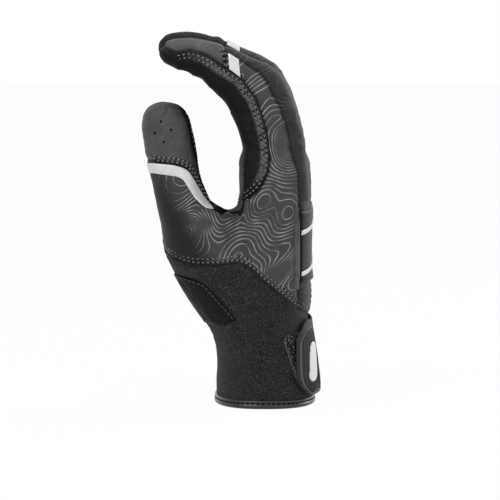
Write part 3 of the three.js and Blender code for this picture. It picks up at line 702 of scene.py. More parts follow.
def keep_below(table, faces, values):
    """The triangles where the values are below zero, cut exactly along the line where they are zero.
    The table's columns, places first, are carried on straight lines to the new points."""
    below = values <= 0
    count = below[faces].sum(1)

    def turned(triangles, odd):
        """The triangles, each turned round until its odd corner comes first."""
        first = odd.argmax(1)
        return triangles[np.arange(len(triangles))[:, None], (first[:, None] + np.arange(3)) % 3]

    one = faces[count == 1]
    one = turned(one, below[one])
    two = faces[count == 2]
    two = turned(two, ~below[two])
    cut = np.concatenate([one[:, [0, 1]], one[:, [0, 2]], two[:, [1, 0]], two[:, [2, 0]]])
    if len(cut) == 0:
        return compact(table, faces[count == 3])
    edges, place = np.unique(np.sort(cut, axis=1), axis=0, return_inverse=True)
    place = place.ravel() + len(table)
    a, b = values[edges[:, 0]], values[edges[:, 1]]
    share = (a / (a - b))[:, None]
    fresh = table[edges[:, 0]] * (1 - share) + table[edges[:, 1]] * share
    m, n = len(one), len(two)
    after, before = place[:m], place[m:2 * m]
    start, end = place[2 * m:2 * m + n], place[2 * m + n:]
    made = np.concatenate([
        faces[count == 3],
        np.stack([one[:, 0], after, before], axis=1),
        np.stack([two[:, 1], two[:, 2], end], axis=1),
        np.stack([two[:, 1], end, start], axis=1),
    ])
    return compact(np.vstack([table, fresh]), made)


def compact(table, faces):
    """The same faces with only the points that they use."""
    used, place = np.unique(faces, return_inverse=True)
    return table[used], place.reshape(faces.shape)


def grid_faces(rows, columns, around=False):
    """Quads of a grid laid out row by row, closed along its rows where it goes around."""
    row = np.arange(rows - 1)[:, None] * columns
    column = np.arange(columns if around else columns - 1)[None]
    ahead = (column + 1) % columns
    a, b = row + column, row + ahead
    return np.stack([a, b, b + columns, a + columns], axis=-1).reshape(-1, 4)


def shell(points, normals, faces, wall):
    """A closed sheet of that thickness: the outer faces, the same faces turned on the inside, and a
    strip along each open edge."""
    count, corners = len(points), faces.shape[1]
    start = faces.ravel()
    end = np.roll(faces, -1, axis=1).ravel()
    code, reverse = start * count + end, end * count + start
    lone = ~np.isin(code, reverse)
    a, b = start[lone], end[lone]
    strips = np.stack([b, a, a + count, b + count], axis=1)
    inner = faces[:, ::-1] + count
    wall = np.broadcast_to(wall, (count,))[:, None]
    if corners == 3:
        strips = np.concatenate([strips[:, [0, 1, 2]], strips[:, [0, 2, 3]]])
    return np.vstack([points, points - normals * wall]), np.concatenate([faces, inner, strips])


def twice(values):
    """Values of the outer points, for the outer and the inner points of a shell."""
    return np.tile(np.ravel(values), 2)


def put(name, data):
    """A new object with that data, in the scene."""
    made = bpy.data.objects.new(name, data)
    bpy.context.scene.collection.objects.link(made)
    return made


def make_piece(name, points, faces, material, attributes=None):
    """A mesh object from millimetre points in the glove's own frame, smooth but for edges that turn
    by more than the sharp angle."""
    mesh = bpy.data.meshes.new(name)
    corners = faces.shape[1]
    place = np.array(points, float) * MM
    place[:, 0] += AXIS_PLACE
    mesh.vertices.add(len(place))
    mesh.vertices.foreach_set("co", place.astype(np.float32).ravel())
    mesh.loops.add(faces.size)
    mesh.loops.foreach_set("vertex_index", faces.astype(np.int32).ravel())
    mesh.polygons.add(len(faces))
    mesh.polygons.foreach_set("loop_start", np.arange(0, faces.size, corners, dtype=np.int32))
    mesh.update(calc_edges=True)
    mesh.validate()
    for key, values in (attributes or {}).items():
        made = mesh.attributes.new(key, "FLOAT", "POINT")
        made.data.foreach_set("value", np.asarray(values, np.float32))
    mesh.polygons.foreach_set("use_smooth", np.ones(len(mesh.polygons), bool))
    mesh.set_sharp_from_angle(angle=SHARP_ANGLE)
    mesh.materials.append(material)
    return put(name, mesh)


def linear(code):
    """An sRGB hex value as linear red, green and blue."""
    parts = np.array([(code >> 16) & 255, (code >> 8) & 255, code & 255]) / 255
    return tuple(np.where(parts <= 0.04045, parts / 12.92, ((parts + 0.055) / 1.055) ** 2.4))


def add(tree, kind, inputs=None, **settings):
    """Adds a shader node with its settings, and sets its inputs, by name or number, to a value or links
    them to a socket or to the first output of a node."""
    made = tree.nodes.new("ShaderNode" + kind)
    for key, value in settings.items():
        setattr(made, key, value)
    for key, value in (inputs or {}).items():
        if isinstance(value, bpy.types.Node):
            value = value.outputs[0]
        if isinstance(value, bpy.types.NodeSocket):
            tree.links.new(value, made.inputs[key])
        else:
            made.inputs[key].default_value = value
    return made


def cleared_tree(block):
    """The node tree of a material or a world, with nothing in it."""
    block.use_nodes = True
    block.node_tree.nodes.clear()
    return block.node_tree


def per_mm(size):
    """The texture scale at which a pattern's feature is that many millimetres, in metre space."""
    return 1 / (size * MM)


def opaque(colour):
    """A colour with its alpha."""
    return (*colour, 1.0)


def finish(name, dark, light, roughness, specular=0.5, metallic=0.0, mottle=9.0, sheen=0.0, coat=0.0,
           groove=1.0):
    """Starts a material: two tones mixed by soft noise, with painted shade in the groove of a seam, on a
    shader whose uniform values are set on its own sockets. Returns the material, its tree, its shader,
    its coordinates and its colour."""
    material = bpy.data.materials.new(name)
    tree = cleared_tree(material)
    shader = add(tree, "BsdfPrincipled", {
        "Roughness": roughness, "Specular IOR Level": specular, "Metallic": metallic,
        "Sheen Weight": sheen, "Sheen Roughness": 0.5, "Coat Weight": coat, "Coat Roughness": 0.2,
    })
    add(tree, "OutputMaterial", {"Surface": shader})
    place = add(tree, "TexCoord").outputs["Object"]
    cloud = add(tree, "TexNoise", {"Vector": place, "Scale": per_mm(mottle), "Detail": 4.0})
    spread = add(tree, "MapRange", {0: cloud, 1: 0.35, 2: 0.65})
    mixed = add(tree, "Mix", {0: spread, 6: opaque(dark), 7: opaque(light)}, data_type="RGBA")
    colour = mixed.outputs[2]
    # Painted shade: the colour darkens toward a seam, down to the groove share at its line
    if groove < 1:
        edge = add(tree, "Attribute", attribute_name="edge").outputs["Fac"]
        depth = add(tree, "MapRange", {0: edge, 1: 0.1, 2: 1.1, 3: groove, 4: 1.0},
                    interpolation_type="SMOOTHSTEP")
        colour = add(tree, "VectorMath", {0: colour, "Scale": depth}, operation="SCALE").outputs[0]
    tree.links.new(colour, shader.inputs["Base Color"])
    return material, tree, shader, place, colour


def bump(tree, shader, heights):
    """Chains bumps of heights, each with its depth in millimetres, into the shader."""
    normal = None
    for height, depth in heights:
        inputs = {"Height": height, "Strength": 1.0, "Distance": depth * MM}
        if normal is not None:
            inputs["Normal"] = normal
        normal = add(tree, "Bump", inputs)
    tree.links.new(normal.outputs[0], shader.inputs["Normal"])


def seam_dip(tree):
    """Height of the sewn edge: low at the seam, level 1.6 mm away from it."""
    edge = add(tree, "Attribute", attribute_name="edge").outputs["Fac"]
    return add(tree, "MapRange", {0: edge, 1: 0.0, 2: 1.6}, interpolation_type="SMOOTHERSTEP")


def hide_material(name, dark, light, grain, roughness, specular, welt):
    """Sheepskin, tanned and drum dyed: a fine pebble, soft creases and a low sheen from handling. The
    welt, its pressed edge along the seams, is paler in noisy patches."""
    material, tree, shader, place, colour = finish(
        name, dark, light, roughness, specular, mottle=14, groove=0.35)
    pressed = add(tree, "Attribute", attribute_name="welt").outputs["Fac"]
    pale_noise = add(tree, "TexNoise", {"Vector": place, "Scale": per_mm(1.6), "Detail": 3.0})
    pale_share = add(tree, "MapRange", {0: pale_noise, 1: 0.36, 2: 0.62, 3: 0.35, 4: 1.0})
    pale_share = add(tree, "Math", {0: pale_share, 1: pressed}, operation="MULTIPLY")
    mixed = add(tree, "Mix", {0: pale_share, 6: colour, 7: opaque(welt)}, data_type="RGBA")
    tree.links.new(mixed.outputs[2], shader.inputs["Base Color"])
    pebble = add(tree, "TexVoronoi", {"Vector": place, "Scale": per_mm(grain)}, feature="SMOOTH_F1")
    crease = add(tree, "TexNoise", {
        "Vector": place, "Scale": per_mm(5.0), "Detail": 3.0, "Distortion": 0.6})
    wear = add(tree, "MapRange", {
        0: crease, 1: 0.3, 2: 0.7, 3: roughness - 0.07, 4: roughness + 0.1})
    tree.links.new(wear.outputs[0], shader.inputs["Roughness"])
    bump(tree, shader, [(crease, 1.5), (pebble, 0.12), (seam_dip(tree), 0.7)])
    return material


def woven_material(name, dark, light, thread, roughness):
    """Knitted polyester with elastane: rows of loops, matt, with a faint fuzz."""
    material, tree, shader, place, _ = finish(
        name, dark, light, roughness, 0.15, sheen=0.15, groove=0.3)
    loops = add(tree, "TexVoronoi", {"Vector": place, "Scale": per_mm(thread), "Randomness": 0.55})
    ruck = add(tree, "TexNoise", {"Vector": place, "Scale": per_mm(7.0), "Detail": 2.0})
    bump(tree, shader, [(ruck, 0.8), (loops, 0.3), (seam_dip(tree), 0.7)])
    return material


def printed_material(name, dark, light, line):
    """Printed stretch jersey: a smooth knit with thin raised contour lines of pale ink. Its ground
    carries painted shade by the thumb and in the web.
    """
    material, tree, shader, place, colour = finish(name, dark, light, 0.6, 0.2, sheen=0.08, groove=0.3)
    relief = add(tree, "Attribute", attribute_name="relief").outputs["Fac"]
    slope = add(tree, "Attribute", attribute_name="slope").outputs["Fac"]
    printed = add(tree, "Attribute", attribute_name="printed").outputs["Fac"]
    level = add(tree, "Math", {0: relief}, operation="FRACT")
    middle = add(tree, "Math", {0: level, 1: 0.5}, operation="SUBTRACT")
    away = add(tree, "Math", {0: middle}, operation="ABSOLUTE")
    reach = add(tree, "Math", {0: away, 1: slope}, operation="DIVIDE")
    drawn = add(tree, "MapRange", {0: reach, 1: 0.13, 2: 0.3, 3: 1.0, 4: 0.0})
    wear = add(tree, "TexNoise", {"Vector": place, "Scale": per_mm(6.0), "Detail": 3.0})
    worn = add(tree, "MapRange", {0: wear, 1: 0.36, 2: 0.6, 3: 0.15, 4: 1.0})
    ink = add(tree, "Math", {0: drawn, 1: printed}, operation="MULTIPLY")
    ink = add(tree, "Math", {0: ink, 1: worn}, operation="MULTIPLY")
    # Painted shade: the ground darkens where the bright attribute falls, by the thumb and in the web
    bright = add(tree, "Attribute", attribute_name="bright").outputs["Fac"]
    shade = add(tree, "MapRange", {0: bright, 3: 0.15, 4: 1.0})
    ground = add(tree, "VectorMath", {0: colour, "Scale": shade}, operation="SCALE")
    mixed = add(tree, "Mix", {0: ink, 6: ground, 7: opaque(line)}, data_type="RGBA")
    tree.links.new(mixed.outputs[2], shader.inputs["Base Color"])
    loops = add(tree, "TexVoronoi", {"Vector": place, "Scale": per_mm(0.9), "Randomness": 0.6})
    bump(tree, shader, [(loops, 0.1), (ink, 0.12), (seam_dip(tree), 0.5)])
    return material


def neoprene_material(name, dark, light, fleck):
    """Neoprene laminated with a looped jersey: matt black with small pale flecks of the loops."""
    material, tree, shader, place, colour = finish(name, dark, light, 0.85, 0.12, sheen=0.12, groove=0.4)
    loops = add(tree, "TexNoise", {
        "Vector": place, "Scale": per_mm(0.72), "Detail": 5.0, "Roughness": 0.75})
    shown = add(tree, "MapRange", {0: loops, 1: 0.52, 2: 0.65})
    mixed = add(tree, "Mix", {0: shown, 6: colour, 7: opaque(fleck)}, data_type="RGBA")
    tree.links.new(mixed.outputs[2], shader.inputs["Base Color"])
    bump(tree, shader, [(loops, 0.5), (seam_dip(tree), 0.5)])
    return material


def moulded_material(name, dark, light, roughness, specular=0.5, metallic=0.0, grain=0.8, coat=0.0,
                     rim=None):
    """Moulded rubber, welded film or wound thread: two close tones and a fine even grain. A raised
    rim about two millimetres from the edge may get a painted highlight, as the crests of its fine
    lines do, with painted shade in their troughs."""
    material, tree, shader, place, colour = finish(
        name, dark, light, roughness, specular, metallic, mottle=6, coat=coat)
    fine = add(tree, "TexNoise", {"Vector": place, "Scale": per_mm(grain), "Detail": 3.0})
    # Painted highlight on the lines' crests and the rim, painted shade in the troughs; darker outside the
    # rim
    if rim is not None:
        line = add(tree, "Attribute", attribute_name="line").outputs["Fac"]
        shade = add(tree, "MapRange", {0: line, 1: -1.0, 3: 0.5, 4: 1.8})
        colour = add(tree, "VectorMath", {0: colour, "Scale": shade}, operation="SCALE")
        edge = add(tree, "Attribute", attribute_name="edge").outputs["Fac"]
        inner = add(tree, "MapRange", {0: edge, 1: 2.0, 2: 2.5, 3: 0.85, 4: 0.0})
        outer = add(tree, "MapRange", {0: edge, 1: 1.1, 2: 1.6})
        pale_share = add(tree, "Math", {0: inner, 1: outer}, operation="MULTIPLY")
        mixed = add(tree, "Mix", {0: pale_share, 6: colour, 7: opaque(rim)}, data_type="RGBA")
        tree.links.new(mixed.outputs[2], shader.inputs["Base Color"])
    bump(tree, shader, [(fine, 0.07)])
    return material


def hook_material(name, dark, light):
    """Hook and loop tape: a rough mat of dark hooks that catch the light at their tips, with a pale
    woven selvedge along its edge."""
    material, tree, shader, place, colour = finish(name, dark, dark, 0.7, 0.2)
    hooks = add(tree, "TexVoronoi", {"Vector": place, "Scale": per_mm(1.2), "Randomness": 0.6})
    tips = add(tree, "MapRange", {0: hooks, 1: 0.2, 2: 0.45, 3: 1.0, 4: 0.0})
    edge = add(tree, "Attribute", attribute_name="edge").outputs["Fac"]
    selvedge = add(tree, "MapRange", {0: edge, 1: 0.35, 2: 0.7, 3: 0.5, 4: 0.0})
    shown = add(tree, "Math", {0: tips, 1: selvedge}, operation="MAXIMUM")
    mixed = add(tree, "Mix", {0: shown, 6: colour, 7: opaque(light)}, data_type="RGBA")
    tree.links.new(mixed.outputs[2], shader.inputs["Base Color"])
    bump(tree, shader, [(hooks, 1.2)])
    return material


def tone(colour, share):
    """A colour made darker or lighter by that share."""
    return tuple(np.array(colour) * share)


def materials():
    """The glove's finishes, made once: for each its maker, its name, a colour and the shares of it in
    the dark and the light tone, and its other values."""
    c = bpy.context.scene.glove_colours
    finishes = {
        # Sheepskin dyed near black: soft pebbles, low gloss, and a paler welt along its seam
        "palm": (hide_material, "sheepskin_palm", c.palm, 0.75, 1.2, {
            "grain": 1.0, "roughness": 0.55, "specular": 0.13, "welt": linear(0x5E5F60)}),
        # The same skin dyed grey, a little glossier where it is handled
        "tip": (hide_material, "sheepskin_tip", c.tip, 0.68, 1.2, {
            "grain": 0.9, "roughness": 0.5, "specular": 0.25, "welt": tone(c.tip, 1.2)}),
        # Knitted polyester with elastane, dyed charcoal: matt, with rows of fine loops
        "fabric": (woven_material, "stretch_knit", c.fabric, 0.75, 1.2, {
            "thread": 0.9, "roughness": 0.75}),
        # Screen printed jersey: a matt grey ground under thin, pale, slightly raised lines
        "printed": (printed_material, "printed_jersey", c.printed, 0.85, 1.1, {
            "line": tuple(c.line)}),
        # The darker knit of the back, with a print hardly paler than its cloth
        "back": (printed_material, "faintly_printed_knit", c.fabric, 0.6, 0.95, {
            "line": tone(c.line, 0.24)}),
        # Neoprene under looped jersey: deep matt black with a sparkle of pale flecks
        "neoprene": (neoprene_material, "neoprene_jersey", c.neoprene, 0.75, 1.15, {
            "fleck": tone(c.neoprene, 6)}),
        # Heat welded film with metal pigment: smooth pale silver with a soft broad sheen
        "silver": (moulded_material, "welded_silver_film", c.silver, 0.92, 1.0, {
            "roughness": 0.38, "metallic": 0.1, "grain": 1.4}),
        # Pressed rubber: dull dark grey; painted highlight on its rim and lines' crests, painted shade
        # between
        "rubber": (moulded_material, "pressed_rubber", c.rubber, 0.85, 1.15, {
            "roughness": 0.5, "specular": 0.3, "grain": 0.7, "rim": tone(c.rubber, 4.2)}),
        # Injection moulded rubber: smoother and darker, with a faint satin gloss
        "plate": (moulded_material, "smooth_moulded_rubber", c.plate, 0.8, 1.2, {
            "roughness": 0.45, "specular": 0.15, "grain": 1.2}),
        # Woven tape with a glossy coat: black, with narrow bright glints along its roll
        "binding": (moulded_material, "coated_binding_tape", c.binding, 0.8, 1.2, {
            "roughness": 0.28, "specular": 0.4, "grain": 1.6, "coat": 0.2}),
        # Woven nylon tape with hooks or loops: a rough dark mat with bright tips
        "hooks": (hook_material, "hook_and_loop_tape", c.rubber, 0.19, 7.1, {}),
        # Moulded silicone, pigmented white: plain, smooth and softly satin
        "badge": (moulded_material, "white_silicone", c.badge, 0.96, 1.0, {
            "roughness": 0.42, "grain": 1.5}),
        # Spun polyester thread, dyed mid grey: dull, and paler than the cloth it sews
        "thread": (moulded_material, "polyester_thread", c.thread, 0.7, 1.25, {
            "roughness": 0.6, "specular": 0.3, "grain": 0.4}),
        # The same thread dyed almost black, which shows only as a row of low bumps
        "dim_thread": (moulded_material, "dark_polyester_thread", c.thread, 0.25, 0.5, {
            "roughness": 0.6, "specular": 0.3, "grain": 0.4}),
        # The shade in a needle hole: black, with no gloss
        "hole": (moulded_material, "needle_hole_shade", linear(0x040404), 1.0, 2.25, {
            "roughness": 0.9, "specular": 0.05, "grain": 0.5}),
    }
    return {
        key: bpy.data.materials.get(name)
        or maker(name, tone(colour, dark), tone(colour, light), **values)
        for key, (maker, name, colour, dark, light, values) in finishes.items()
    }


def colour_prop(label, text, code):
    """A colour property with its default from an sRGB hex value."""
    return FloatVectorProperty(
        name=label, description=text, default=linear(code), subtype="COLOR", size=3, min=0, max=1)


class GloveColours(bpy.types.PropertyGroup):
    """Colours of the glove's finishes."""

    palm: colour_prop("Palm leather", "Dyed sheepskin of the palm", 0x0D0E0F)
    tip: colour_prop("Tip leather", "Grey sheepskin of the thumb and index tips", 0x464749)
    fabric: colour_prop("Stretch knit", "Knit of the back and between the fingers", 0x2B2C2F)
    printed: colour_prop("Printed jersey", "Ground of the printed side panel", 0x444547)
    line: colour_prop("Printed line", "Ink of the contour lines", 0xA8A9AB)
    neoprene: colour_prop("Neoprene", "Cuff sleeve and strap", 0x212224)
    silver: colour_prop("Silver film", "Welded stripes and bars", 0xE0E1E3)
    rubber: colour_prop("Moulded rubber", "Strap tab and its tapes", 0x2D2E30)
    plate: colour_prop("Smooth rubber", "Plate on the back of the hand", 0x151618)
    binding: colour_prop("Binding tape", "Glossy tape round the hem", 0x131416)
    badge: colour_prop("Badge", "Plain raised badge on the tab", 0xEDEDEE)
    thread: colour_prop("Thread", "Sewing thread", 0x808184)


class GloveSizes(bpy.types.PropertyGroup):
    """Sizes of the glove's meshes and sewing."""

    grid: FloatProperty(
        name="Skin grid", description="Grid spacing of the skin, in millimetres", default=0.8,
        min=0.5, max=3)
    stitch_pitch: FloatProperty(
        name="Stitch pitch", description="From one stitch to the next, in millimetres", default=2.4, min=1)
    stitch_length: FloatProperty(
        name="Stitch length", description="Length of a stitch, in millimetres", default=1.6, min=0.5)
    thread_width: FloatProperty(
        name="Thread width", description="Width of the thread, in millimetres", default=0.52, min=0.2)
    hills: IntProperty(
        name="Contour hills", description="Number of hills in the printed relief", default=46, min=4)
    fold_depth: FloatProperty(
        name="Fold depth", description="Depth of the leather's folds, in millimetres", default=0.85, min=0)


# The skin's triangles and seam fields, kept for all the panels
STORE = {}


def whole_skin():
    """The skin's triangles with their seam fields, made once for all panels."""
    if not STORE:
        sizes = bpy.context.scene.glove_sizes
        points, quads = skin_mesh(sizes.grid)
        part, fields = seam_fields(points)
        STORE["faces"] = np.concatenate([quads[:, [0, 1, 2]], quads[:, [0, 2, 3]]])
        STORE["part"] = part
        STORE["names"] = ["hand", "thumb", *DIGITS]
        fields_table = np.stack(list(fields.values()), axis=1)
        STORE["table"] = np.hstack([points, skin_normals(points), fields_table])
        STORE["columns"] = {key: 6 + place for place, key in enumerate(fields)}
    return STORE


def fold_shift(points, strength):
    """Folds of the leather: ridges, each one less twice the size of a noise that is stretched
    across the fingers and along the palm, seven parts large to three parts small, under a mask of
    wider noise."""
    stretched = points * np.array([1.0, 0.45, 1.15])
    large = 1 - 2 * np.abs(lattice_noise(stretched, 6.5, 3))
    small = 1 - 2 * np.abs(lattice_noise(stretched, 3.4, 9))
    mask = 0.45 + 0.55 * lattice_noise(points, 16, 5)
    return strength * np.clip(mask, 0.1, 1) * (0.7 * large + 0.3 * small - 0.3)


def calm(points):
    """One on the cloth, falling to zero under the stripes across the fingers' backs."""
    low, high = STRIPE_PLACES
    shifted = points[:, 0] - LITTLE_STRIPE_SHIFT * (points[:, 1] > 22)
    beside = np.maximum(low - shifted, shifted - high)
    return np.maximum(ramp(0, 3, beside), ramp(-21, -24, points[:, 1]))


def gathers(points):
    """Small ripples, as a sine of the slanting distance, that fade away from the gathers' middle."""
    column, row, reach = GATHERS
    pixels = to_pixel(points)
    x, y = pixels[:, 0] - column, pixels[:, 1] - row
    fade = np.exp(-(x**2 + y**2) / reach**2) * (points[:, 1] < 0)
    return 0.55 * fade * np.sin((0.45 * x + 0.9 * y) * 2 * math.pi / 5.2)


def contour_relief(points, count):
    """Height of the printed relief, in contour steps: a sum of long hills and hollows, each a bell
    curve of the distance measured along and across its own slanting axis, whose places, sizes,
    slants and heights come from one seeded draw. The cloth's own coordinate runs with x on the thumb
    side and turns back round the hand, as on one flat sheet folded over."""
    draw = np.random.default_rng(23)
    centres = draw.uniform([-46, 0, 44], [32, 0, 184], (count, 3))
    across = draw.uniform(5.5, 10, count)
    along = across * draw.uniform(1.3, 2.8, count)
    heights = across * draw.uniform(0.42, 0.68, count) * draw.choice([-1, 1], count, p=[0.4, 0.6])
    slant = np.radians(draw.uniform(15, 75, count))
    past = points[:, 1] + PRINT_FOLD
    sheet = points.copy()
    sheet[:, 0] -= 0.45 * (past + np.sqrt(past**2 + 25))
    offset = sheet[:, None, :] - centres[None]
    first = offset[..., 0] * np.cos(slant) + offset[..., 2] * np.sin(slant)
    second = offset[..., 2] * np.cos(slant) - offset[..., 0] * np.sin(slant)
    far = (first / along) ** 2 + (second / across) ** 2
    return (heights * np.exp(-far)).sum(1) + 0.3 * lattice_noise(points, 9, 4) + 20


def panel(name, material, limits, tubes=None, fold=0.0, ink=0.0, wall=WALL):
    """A sewn panel: the skin where every limit is below zero, its edge rolled down toward the seam,
    then made a closed sheet. A limit is a seam field's name, with a minus for its other side."""
    skin = whole_skin()
    table, faces = skin["table"], skin["faces"]
    if tubes is not None:
        chosen = np.isin(skin["part"], [skin["names"].index(tube) for tube in tubes])
        faces = faces[chosen[faces].sum(1) >= 2]
    for limit in limits:
        key, sign = limit.lstrip("-"), -1 if limit.startswith("-") else 1
        values = sign * table[:, skin["columns"][key]] + SEAM_GAP
        table, faces = keep_below(table, faces, values)
    columns = [skin["columns"][limit.lstrip("-")] for limit in limits]
    edge = np.abs(table[:, columns]).min(1) if columns else np.full(len(table), 9.0)
    points, normals = table[:, :3], unit(table[:, 3:6])
    shift = SWELL_HEIGHT * bell(edge, SWELL_PLACE, SWELL_WIDTH) - ROLL_DEPTH * bell(edge, 0, ROLL_WIDTH)
    shift = shift + 0.22 * lattice_noise(points, 11, 2)
    if fold > 0:
        shift = shift + fold_shift(points, fold) * ramp(0, 3, edge) * calm(points)
    shift = shift + gathers(points) * ramp(0, 2, edge)
    points = points + normals * shift[:, None]
    outer, closed = shell(points, normals, faces, wall)
    # The welt shows from 0.5 to 5.6 mm inside the edge, above the knuckles on the thumb side
    welt = ramp(0.5, 1.2, edge) * ramp(5.6, 4.0, edge) * ramp(110, 121, points[:, 2])
    welt = welt * ramp(-31, -36, points[:, 1]) * ramp(-44, -20, points[:, 0])
    attributes = {"edge": edge, "welt": welt}
    if ink > 0:
        # The print's height in contour steps and its steepness, where the cloth shows its full tone
        # outside the painted shade by the thumb and in the web, and how strong the ink is
        sizes = bpy.context.scene.glove_sizes
        relief = contour_relief(table[:, :3], sizes.hills)
        slope = slope_of(lambda p: contour_relief(p, sizes.hills), table[:, :3], 0.4)
        slope = slope - normals * (slope * normals).sum(1, keepdims=True)
        steep = np.maximum(np.linalg.norm(slope, axis=1), 0.06)
        pixels = to_pixel(table[:, :3])
        bright = ramp(170, 200, pixels[:, 0] - 0.6 * (pixels[:, 1] - 215))
        bright = bright * (1 - ramp(-18, -26, points[:, 0]) * ramp(-29, -23, points[:, 1]))
        # The ink fades toward the back, where the relief is steep, and beside the cuff's seam
        printed = ink * bright * (0.3 + 0.7 * ramp(300, 284, pixels[:, 0])) * ramp(0.95, 0.65, steep)
        printed = printed * ramp(0.6, 4.6, np.abs(table[:, skin["columns"]["cuff"]]))
        attributes.update(relief=relief, slope=steep, printed=printed, bright=bright)
    attributes = {key: twice(values) for key, values in attributes.items()}
    return make_piece(name, outer, closed, material, attributes)


def settle(piece, slot, *nodes, body="glove"):
    """Attaches a piece to the body it rides on and hides the nodes it stands for. The slot is not used."""
    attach(piece, body)
    if nodes:
        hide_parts(*nodes)


def from_borders(grid):
    """For a grid of points, the distances measured along its rows from their start, along its columns
    from their start, and to the nearest border."""
    rows, columns = grid.shape[:2]
    across = np.linalg.norm(np.diff(grid, axis=1), axis=2)
    along = np.linalg.norm(np.diff(grid, axis=0), axis=2)
    left = np.hstack([np.zeros((rows, 1)), np.cumsum(across, axis=1)])
    low = np.vstack([np.zeros((1, columns)), np.cumsum(along, axis=0)])
    border = np.minimum(np.minimum(left, left[:, -1:] - left), np.minimum(low, low[-1:] - low))
    return left, low, border


def quarter_round(border, bevel):
    """A quarter circle's height: 0 on the border, 1 from the bevel inwards."""
    return np.sqrt(np.clip(1 - (1 - np.clip(border / bevel, 0, 1)) ** 2, 0, 1))


def laid(points, shape, thickness, lift, bevel, foot=0.35):
    """A thin layer on the skin from a grid of points near it: pulled to the skin, lifted, with its
    border rounded down over the bevel to a foot of that share, and closed underneath."""
    base = pull(points)
    normals = skin_normals(base)
    border = from_borders(base.reshape(*shape, 3))[2].ravel()
    top = lift + np.ravel(thickness) * (foot + (1 - foot) * quarter_round(border, bevel))
    faces = facing(grid_faces(*shape), base, normals)
    return shell(base + normals * top[:, None], normals, faces, top - lift + 0.12), border


def facing(faces, points, normals):
    """The faces turned, if need be, so that they look along the normals."""
    a, b, c = (points[faces[:, corner]] for corner in (0, 1, 2))
    if (np.cross(b - a, c - a) * normals[faces[:, 0]]).sum() < 0:
        return faces[:, ::-1]
    return faces


def between_lines(first, second, rows, columns):
    """Skin points between two lines of pixels: a ruled grid in the picture, cast onto the skin."""
    a, b = curve_through(first, columns), curve_through(second, columns)
    return cast(mix(a, b, np.linspace(0, 1, rows)[:, None, None]).reshape(-1, 2))


def dense_line(line):
    """A smooth line of pixels with a point every 0.8 pixels."""
    length = np.linalg.norm(np.diff(line, axis=0), axis=1).sum()
    return curve_through(line, max(int(length / 0.8), 8))


def row_beside(path, offset):
    """A path on the skin, moved sideways by an offset: positive to the left of its travel as seen
    from outside."""
    return pull(path + np.cross(skin_normals(path), unit(np.gradient(path, axis=0))) * offset)


def stitches(paths, lift=0.15, sunk=0.3, pitch=None, length=None):
    """A run of stitches along each path: a bent capsule of five rings of six points for each, low at
    its ends, where the thread dives into its needle holes."""
    sizes = bpy.context.scene.glove_sizes
    pitch = pitch or sizes.stitch_pitch
    length = length or sizes.stitch_length
    radius = sizes.thread_width / 2
    centres, tangents = [], []
    for path in paths:
        along = distances_along(path)
        count = max(int(along[-1] / pitch), 1)
        even = (np.arange(count) + 0.5) * along[-1] / count
        centres.append(rows_at(even, along, path))
        tangents.append(unit(rows_at(even + 0.4, along, path) - centres[-1]))
    centre, tangent = np.concatenate(centres), np.concatenate(tangents)
    normal = skin_normals(centre)
    side = np.cross(normal, tangent)
    t = np.array([-1, -0.62, 0, 0.62, 1])
    size = np.array([0.35, 0.9, 1, 0.9, 0.35]) * radius
    rise = lift - sunk * t**2
    turn = np.arange(6) * math.pi / 3
    spine = (centre[:, None] + tangent[:, None] * (t * length / 2)[None, :, None]
             + normal[:, None] * rise[None, :, None])
    ring = (side[:, None, None] * np.cos(turn)[None, None, :, None]
            + normal[:, None, None] * np.sin(turn)[None, None, :, None])
    points = spine[:, :, None] + ring * size[None, :, None, None]
    one = grid_faces(5, 6, around=True)
    caps = np.array([[0, 5, 4, 3], [0, 3, 2, 1], [24, 25, 26, 27], [24, 27, 28, 29]])
    faces = np.concatenate([one, caps])
    every = (faces[None] + 30 * np.arange(len(centre))[:, None, None]).reshape(-1, 4)
    return points.reshape(-1, 3), every, centre, tangent, normal


def holes(centre, tangent, normal, radius=0.52, lift=0.14):
    """Dark round dots of painted shade that stand for holes, at points of the skin: a low frustum of two
    rings of eight points for each.
    """
    side = np.cross(normal, tangent)
    turn = np.arange(8) * math.pi / 4
    rim = tangent[:, None] * np.cos(turn)[None, :, None] + side[:, None] * np.sin(turn)[None, :, None]
    lower = centre[:, None] + rim * radius - normal[:, None] * 0.3
    upper = centre[:, None] + rim * radius * 0.9 + normal[:, None] * lift
    lid = np.array([[0, 1, 2, 3], [0, 3, 4, 7], [4, 5, 6, 7]])
    one = np.concatenate([grid_faces(2, 8, around=True), lid + 8, lid[:, ::-1]])
    every = (one[None] + 16 * np.arange(len(centre))[:, None, None]).reshape(-1, 4)
    return np.concatenate([lower, upper], axis=1).reshape(-1, 3), every


